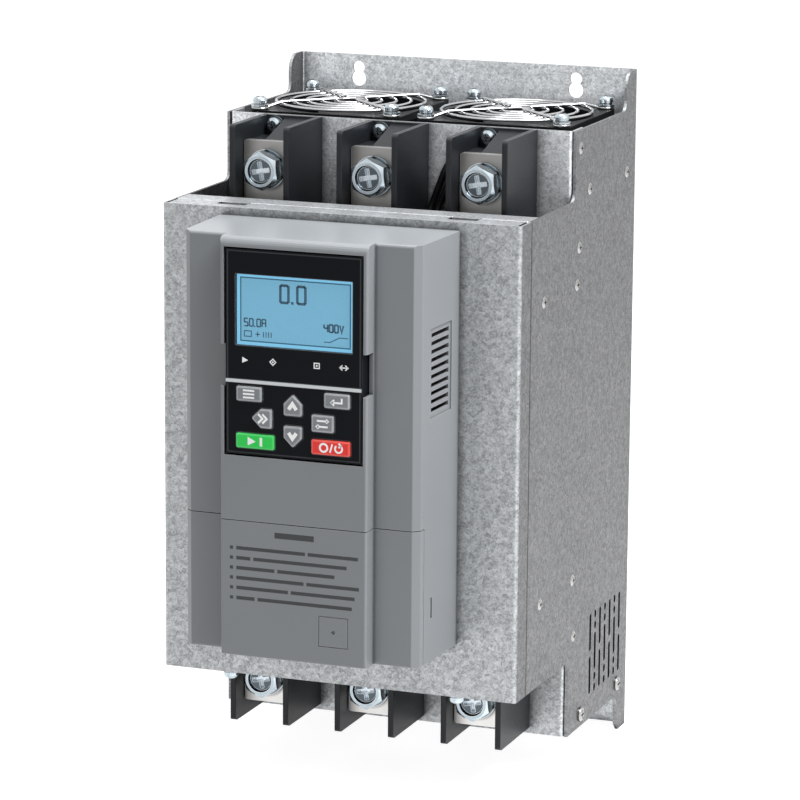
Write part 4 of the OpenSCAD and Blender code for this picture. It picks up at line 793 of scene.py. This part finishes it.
class STARTER_OT_electronics(bpy.types.Operator):
    """Finishes of the power modules, sensors, boards and the terminal strip"""

    bl_idname = "starter.electronics"
    bl_label = "Electronics"

    def execute(self, context):
        # The edge colours are painted highlights on the parts' edges.
        fine = {"scale": 900, "depth": 0.00002, "highlight": 0.3}
        black = moulded("module_plastic", (0.035, 0.036, 0.036), roughness=0.45, edge=(0.1, 0.1, 0.1), **fine)
        blue = moulded("sensor_plastic", (0.015, 0.022, 0.036), roughness=0.5, edge=(0.07, 0.08, 0.1), **fine)
        lacquer = moulded("board_lacquer", (0.012, 0.095, 0.045), roughness=0.3, scale=700, depth=0.00002,
                          highlight=0.4, edge=(0.3, 0.32, 0.2))
        green = moulded("clamp_plastic", (0.03, 0.19, 0.075), roughness=0.45, edge=(0.1, 0.3, 0.16), **fine)
        finish_nodes(black, *numbered("thyristor"))
        finish_nodes(blue, *numbered("current_sensor"))
        finish_nodes(lacquer, "control_board", "trigger_board", "keypad_board")
        finish_nodes(green, "terminal_strip")
        return {"FINISHED"}


class STARTER_OT_housing(bpy.types.Operator):
    """Grey plastic of the housing and its lower cover, with lines of print on the cover"""

    bl_idname = "starter.housing"
    bl_label = "Housing"

    def execute(self, context):
        plastic = context.scene.starter_plastic
        # Fronts and sides are toned darker than the top as painted light, corners get painted shade, and the
        # edge colour is a painted highlight.
        grey = moulded("housing_plastic", plastic.housing, roughness=0.30, scale=1 / plastic.grain,
                       depth=0.00003, highlight=0.6, edge=(0.46, 0.47, 0.475), rim=0.0006, turned=(0.83, 0.90))
        finish_nodes(grey, "housing", "lower_cover")
        ink = printed_ink("cover_ink", (0.028, 0.03, 0.032), roughness=0.6)
        front, film = front_of("lower_cover"), context.scene.starter_keys.film
        heading, line, dot = 2.8, 1.7, 1.6
        rows = [(-34.7, (-29.2, 6.2), (7.6, 33.2)), (-39.6, (-29.2, -22.0), (-20.4, 27.5)),
                (-44.5, (-29.2, -9.5), (-8.0, 21.3)), (-49.4, (-29.2, 5.5), (7.0, 33.8)),
                (-54.3, (-29.2, -2.5), (-1.0, 31.6)), (-59.3, (-29.2, -19.8), (-18.2, 30.2))]
        strokes = [([(-9.4, -26.9), (10.7, -26.9)], heading)]
        for z, *parts in rows:
            strokes += [([(left, z), (right, z)], line) for left, right in parts]
            strokes.append(([(-32.5, z), (-30.9, z)], dot))
        swept_piece("cover_print", bands_of(strokes, front, film), ink, "lower_cover")
        return {"FINISHED"}


class STARTER_OT_keypad(bpy.types.Operator):
    """Keypad case, keys and the marks on them"""

    bl_idname = "starter.keypad"
    bl_label = "Keypad"

    def execute(self, context):
        keys, plastic = context.scene.starter_keys, context.scene.starter_plastic
        finish_nodes(self.case_plastic(plastic), "keypad_case")
        # The keys' edge colours, rim wide, are painted highlights on their bevels.
        skin = {"scale": 1500, "depth": 0.00001, "rim": 0.0013}
        grey = moulded("key_grey", keys.grey, roughness=0.42, highlight=1.0, edge=(0.66, 0.69, 0.72), **skin)
        green = moulded("key_green", keys.green, roughness=0.4, highlight=0.8, edge=(0.22, 0.85, 0.35), **skin)
        red = moulded("key_red", keys.red, roughness=0.4, highlight=0.8, edge=(1.0, 0.3, 0.25), **skin)
        finish_nodes(grey, "program_key", "enter_key", "up_key", "down_key", "shift_key", "mode_key")
        finish_nodes(green, "run_key")
        finish_nodes(red, "stop_key")
        ink = printed_ink("key_ink", keys.mark, roughness=0.5)
        for name, strokes in self.key_marks(keys.stroke / MM).items():
            bands = bands_of(strokes, front_of(name), keys.film, middle_of(name))
            swept_piece(name.replace("_key", "_mark"), bands, ink, name)
        window_sunk = 0.2 * MM
        face = front_of("lcd_window") + window_sunk
        swept_piece("lamp_marks", bands_of(self.lamp_marks(), face, keys.film), ink, "keypad")
        return {"FINISHED"}

    def case_plastic(self, plastic):
        """Near-black plastic with a thin paler outline, whose dividing bar, proud of the face, is bright."""
        made, tree, shader = material("keypad_plastic", specular_ior_level=0.07)
        skin = use_group(tree, "moulded_texture", scale=1800, color=plastic.keypad, roughness=0.36)
        outline, half_width, line_tone = 1.3 * MM, 0.3 * MM, (0.05, 0.053, 0.057)
        bar_from, bar_tone, bar_metal = 0.25 * MM, (0.44, 0.46, 0.47), 0.8
        place = place_of(tree)
        proud = math_node(tree, "LESS_THAN", place["Y"], -(front_of("lcd_window") + bar_from))
        # Painted highlights on the case's edges
        highlighted = use_group(tree, "painted_edge_highlights", radius=0.0009, color=skin["Color"],
                           edge=(0.20, 0.21, 0.22), amount=0.9)
        line = math_node(tree, "COMPARE", inset_of(tree, place, "keypad_case"), outline, half_width)
        lined = mix_colour(tree, line, highlighted["Color"], line_tone)
        tree.links.new(mix_colour(tree, proud, lined, bar_tone), shader.inputs["Base Color"])
        tree.links.new(math_node(tree, "MULTIPLY", proud, bar_metal), shader.inputs["Metallic"])
        tree.links.new(skin["Roughness"], shader.inputs["Roughness"])
        bump(tree, shader, skin["Height"], distance=0.00001)
        return made

    def key_marks(self, w):
        """Strokes of each key's mark about the key's middle, in millimetres."""
        chevron = np.array([(-2.2, -1.1), (0, 1.1), (2.2, -1.1)])
        aside = chevron[:, ::-1]
        head = np.array([(-1.0, 0.9), (0, 0), (-1.0, -0.9)])
        return {
            "program_key": [([(-2.9, z), (2.9, z)], w) for z in (-1.7, 0, 1.7)],
            "enter_key": [([(2.6, 1.6), (2.6, -0.7), (-2.6, -0.7)], w),
                          ([(-1.2, 0.7), (-2.7, -0.7), (-1.2, -2.1)], w)],
            "up_key": [(chevron * (0.9, 1.25) + (0, -0.3), 2 * w)],
            "down_key": [(chevron * (0.9, -1.25) + (0, 0.3), 2 * w)],
            "shift_key": [(aside + (x, 0), 1.2 * w) for x in (-0.9, 1.3)],
            "mode_key": [([(-2.8, 1.4), (2.6, 1.4)], w), (head + (2.9, 1.4), w),
                         ([(2.8, -1.4), (-2.6, -1.4)], w), (head * (-1, 1) + (-2.9, -1.4), w)],
            "run_key": [([(-3.6, 0), (0.4, 0)], (4.2, TIP)), ([(3.2, -2.1), (3.2, 2.1)], 1.3)],
            "stop_key": [(ring(1.9) + (-3.4, 0), 1.1 * w), ([(-0.2, -2.1), (1.0, 2.1)], 0.9 * w),
                         (ring(1.8, 60, -290) + (4.2, 0), w), (head * (1.2, 1.2) + (5.4, 1.6), w)],
        }

    def lamp_marks(self):
        """Strokes of the four marks under the display: run, alarm, here and away."""
        z = 57.1
        diamond = np.array([(0, 1.5), (1.5, 0), (0, -1.5), (-1.5, 0), (0, 1.5)])
        square = np.array([(-1.3, -1.2), (1.3, -1.2), (1.3, 1.2), (-1.3, 1.2), (-1.3, -1.2)])
        return [
            ([(-26.2, z), (-23.2, z)], (2.9, TIP)),
            (diamond + (-10.5, z), 0.5), ([(-10.9, z), (-10.1, z)], 0.8),
            (square + (11.8, z), 0.5), ([(11.4, z), (12.2, z)], 0.8),
            ([(23.4, z), (27.4, z)], 0.55), ([(26.2, z + 1.2), (27.6, z), (26.2, z - 1.2)], 0.5),
            ([(24.8, z + 1.2), (23.4, z), (24.8, z - 1.2)], 0.5),
        ]


class STARTER_OT_display(bpy.types.Operator):
    """Display unit with its bright border, the figures on it and the clear window"""

    bl_idname = "starter.display"
    bl_label = "Display"

    def execute(self, context):
        display = context.scene.starter_display
        finish_nodes(self.lit_field(display), "lcd_unit")
        glass, tree, shader = material("display_window", base_color=(0.02, 0.03, 0.035, 1), alpha=0.06)
        haze = noise(tree, object_place(tree), scale=60.0)[0]
        tree.links.new(spread(tree, haze, 0.08, 0.16), shader.inputs["Roughness"])
        finish_nodes(glass, "lcd_window")
        ink = printed_ink("display_ink", display.figure, roughness=0.5)
        bands = bands_of(self.figures(), front_of("lcd_unit"), context.scene.starter_keys.film)
        swept_piece("display_figures", bands, ink, "keypad")
        return {"FINISHED"}

    def figures(self):
        """Strokes of the display's three numbers and small signs, in millimetres."""
        left, right, large, small, thin = -26.0, 14.6, 8.2, 3.6, 0.5
        strokes = figure_strokes("0.0", -7.6, 85.6, large, 1.3)
        strokes += figure_strokes("50.0A", left, 73.2, small, 0.7)
        strokes += figure_strokes("400V", right, 73.2, small, 0.85)
        frame_sign = [(left, 68.2), (-22.4, 68.2), (-22.4, 70.8), (left, 70.8), (left, 68.2)]
        ramp_sign = [(right, 68.3), (17.6, 68.3), (22.4, 70.8), (26.8, 70.8)]
        return strokes + [
            (frame_sign, thin),
            ([(-20.4, 69.5), (-18.0, 69.5)], thin), ([(-19.2, 68.3), (-19.2, 70.7)], thin),
            *[([(x, 68.2), (x, 70.8)], thin) for x in (-16.2, -14.9, -13.6, -12.3)],
            (ramp_sign, 0.45),
        ]

    def lit_field(self, display):
        """Pale blue field with a thin dark line and a bright border, by the distance to the window's edge.

        Its base colour is a dim share of the tone that glows.
        """
        line_from, border_from, dimmed, dot_share = 2.1 * MM, 1.45 * MM, 0.65, 0.25
        made, tree, shader = material("display_field", roughness=0.4, emission_strength=display.glow,
                                      specular_ior_level=0.05)
        edge = inset_of(tree, place_of(tree), "lcd_window")
        dots = noise(tree, object_place(tree), scale=900.0)[0]
        field = mix_colour(tree, spread(tree, dots, 0, dot_share), display.field, display.border)
        line = math_node(tree, "LESS_THAN", edge, line_from)
        border = math_node(tree, "LESS_THAN", edge, border_from)
        lined = mix_colour(tree, line, field, display.figure)
        tone = mix_colour(tree, border, lined, display.border)
        tree.links.new(mix_colour(tree, dimmed, tone, (0, 0, 0)), shader.inputs["Base Color"])
        tree.links.new(tone, shader.inputs["Emission Color"])
        return made


# Places of the stage, in metres: the camera's target, the point that the lamps face, and the lamps'
# directions and distance from that point
CAMERA_TARGET = Vector((-0.00225, -0.09, 0.01041))
LAMP_TARGET = Vector((0, -0.1, 0))
SIDE_DIRECTION = (0.66, -0.19, 1.0)
TOP_DIRECTION = (-0.06, 0.0, 1.0)
LAMP_DISTANCE = 1.7


class STARTER_OT_stage(bpy.types.Operator):
    """Camera at the photograph's angle, soft lamps, white surroundings and a pale floor"""

    bl_idname = "starter.stage"
    bl_label = "Stage"

    def execute(self, context):
        stage = context.scene.starter_stage
        context.scene.view_settings.view_transform = "Standard"
        self.camera(stage)
        self.lamp("side_lamp", stage.key, SIDE_DIRECTION, size=1.0)
        self.lamp("top_lamp", stage.top, TOP_DIRECTION, size=0.8)
        self.surroundings(stage.ambient)
        self.floor()
        return {"FINISHED"}

    def camera(self, stage):
        """Looks at the target from azimuth and elevation, and rolls about its own axis."""
        a, e, r = stage.azimuth, stage.elevation, stage.roll
        back = Vector((math.sin(a) * math.cos(e), -math.cos(a) * math.cos(e), math.sin(e)))
        right = Vector((math.cos(a), math.sin(a), 0))
        up = back.cross(right)
        turned = [right * math.cos(r) + up * math.sin(r), up * math.cos(r) - right * math.sin(r), back]
        data = bpy.data.cameras.new("camera")
        data.lens, data.sensor_width, data.clip_start, data.clip_end = stage.lens, 36, 0.05, 50
        camera = add_object("camera", data)
        place = Matrix.Translation(CAMERA_TARGET + back * stage.distance)
        camera.matrix_world = place @ Matrix(turned).transposed().to_4x4()
        bpy.context.scene.camera = camera

    def lamp(self, name, watts, direction, size):
        """Square soft lamp that faces the object."""
        data = bpy.data.lights.new(name, "AREA")
        data.energy, data.size = watts, size
        lamp = add_object(name, data)
        away = Vector(direction).normalized()
        lamp.location = LAMP_TARGET + away * LAMP_DISTANCE
        lamp.rotation_mode = "QUATERNION"
        lamp.rotation_quaternion = away.to_track_quat("Z", "Y")

    def surroundings(self, ambient):
        """World that lights at its ambient strength and looks white to the camera and in reflections."""
        world = bpy.data.worlds.new("surroundings")
        world.use_nodes = True
        tree = world.node_tree
        sky = tree.nodes["Background"]
        sky.inputs["Color"].default_value = (1, 1, 1, 1)
        tree.links.new(spread(tree, seen_directly(tree), ambient, 1.0), sky.inputs["Strength"])
        bpy.context.scene.world = world

    def floor(self):
        """Pale floor under the object: a flat disc, rings by spokes, white to the camera but for shadow."""
        inner, outer, rings, spoke, glow = 0.02, 6, 12, 7.5, 0.91
        made, tree, shader = material("floor_paper", base_color=(0.4, 0.4, 0.4, 1), roughness=0.9,
                                      emission_color=(1, 1, 1, 1))
        lit = math_node(tree, "MULTIPLY", seen_directly(tree), glow)
        tree.links.new(lit, shader.inputs["Emission Strength"])
        turns = np.radians(np.arange(0, 360, spoke))
        radius, turn = np.meshgrid(np.linspace(inner, outer, rings), turns, indexing="ij")
        z = np.full_like(radius, CAD_BOX[0].z)
        points = np.stack([radius * np.cos(turn), radius * np.sin(turn), z], -1)
        index = np.arange(radius.size).reshape(radius.shape)
        a, b = index[:-1], index[1:]
        quads = np.stack([a, b, np.roll(b, -1, 1), np.roll(a, -1, 1)], -1).reshape(-1, 4)
        faces = [*quads.tolist(), index[0].tolist()]
        floor = add_mesh("floor", points.reshape(-1, 3).tolist(), faces, made)


OPERATORS = (
    STARTER_OT_stage,
    STARTER_OT_sheet,
    STARTER_OT_terminals,
    STARTER_OT_cooling,
    STARTER_OT_leads,
    STARTER_OT_electronics,
    STARTER_OT_housing,
    STARTER_OT_keypad,
    STARTER_OT_display,
)


class STARTER_PT_panel(bpy.types.Panel):
    """Lists the starter's settings and the operators that build its looks"""

    bl_idname = "STARTER_PT_panel"
    bl_label = "Soft starter"
    bl_space_type = "VIEW_3D"
    bl_region_type = "UI"
    bl_category = "Starter"

    def draw(self, context):
        for name, settings in SETTINGS.items():
            box = self.layout.box()
            box.label(text=settings.__doc__)
            for key in settings.__annotations__:
                box.prop(getattr(context.scene, name), key)
        for operator in OPERATORS:
            self.layout.operator(operator.bl_idname)


def register():
    for cls in (*SETTINGS.values(), *OPERATORS, STARTER_PT_panel):
        bpy.utils.register_class(cls)
    for name, settings in SETTINGS.items():
        setattr(bpy.types.Scene, name, bpy.props.PointerProperty(type=settings))


def unregister():
    for name in SETTINGS:
        delattr(bpy.types.Scene, name)
    for cls in (STARTER_PT_panel, *OPERATORS, *SETTINGS.values()):
        bpy.utils.unregister_class(cls)


def main():
    """Builds the looks in order."""
    register()
    for operator in OPERATORS:
        family, name = operator.bl_idname.split(".")
        getattr(getattr(bpy.ops, family), name)()


if __name__ == "__main__":
    main()
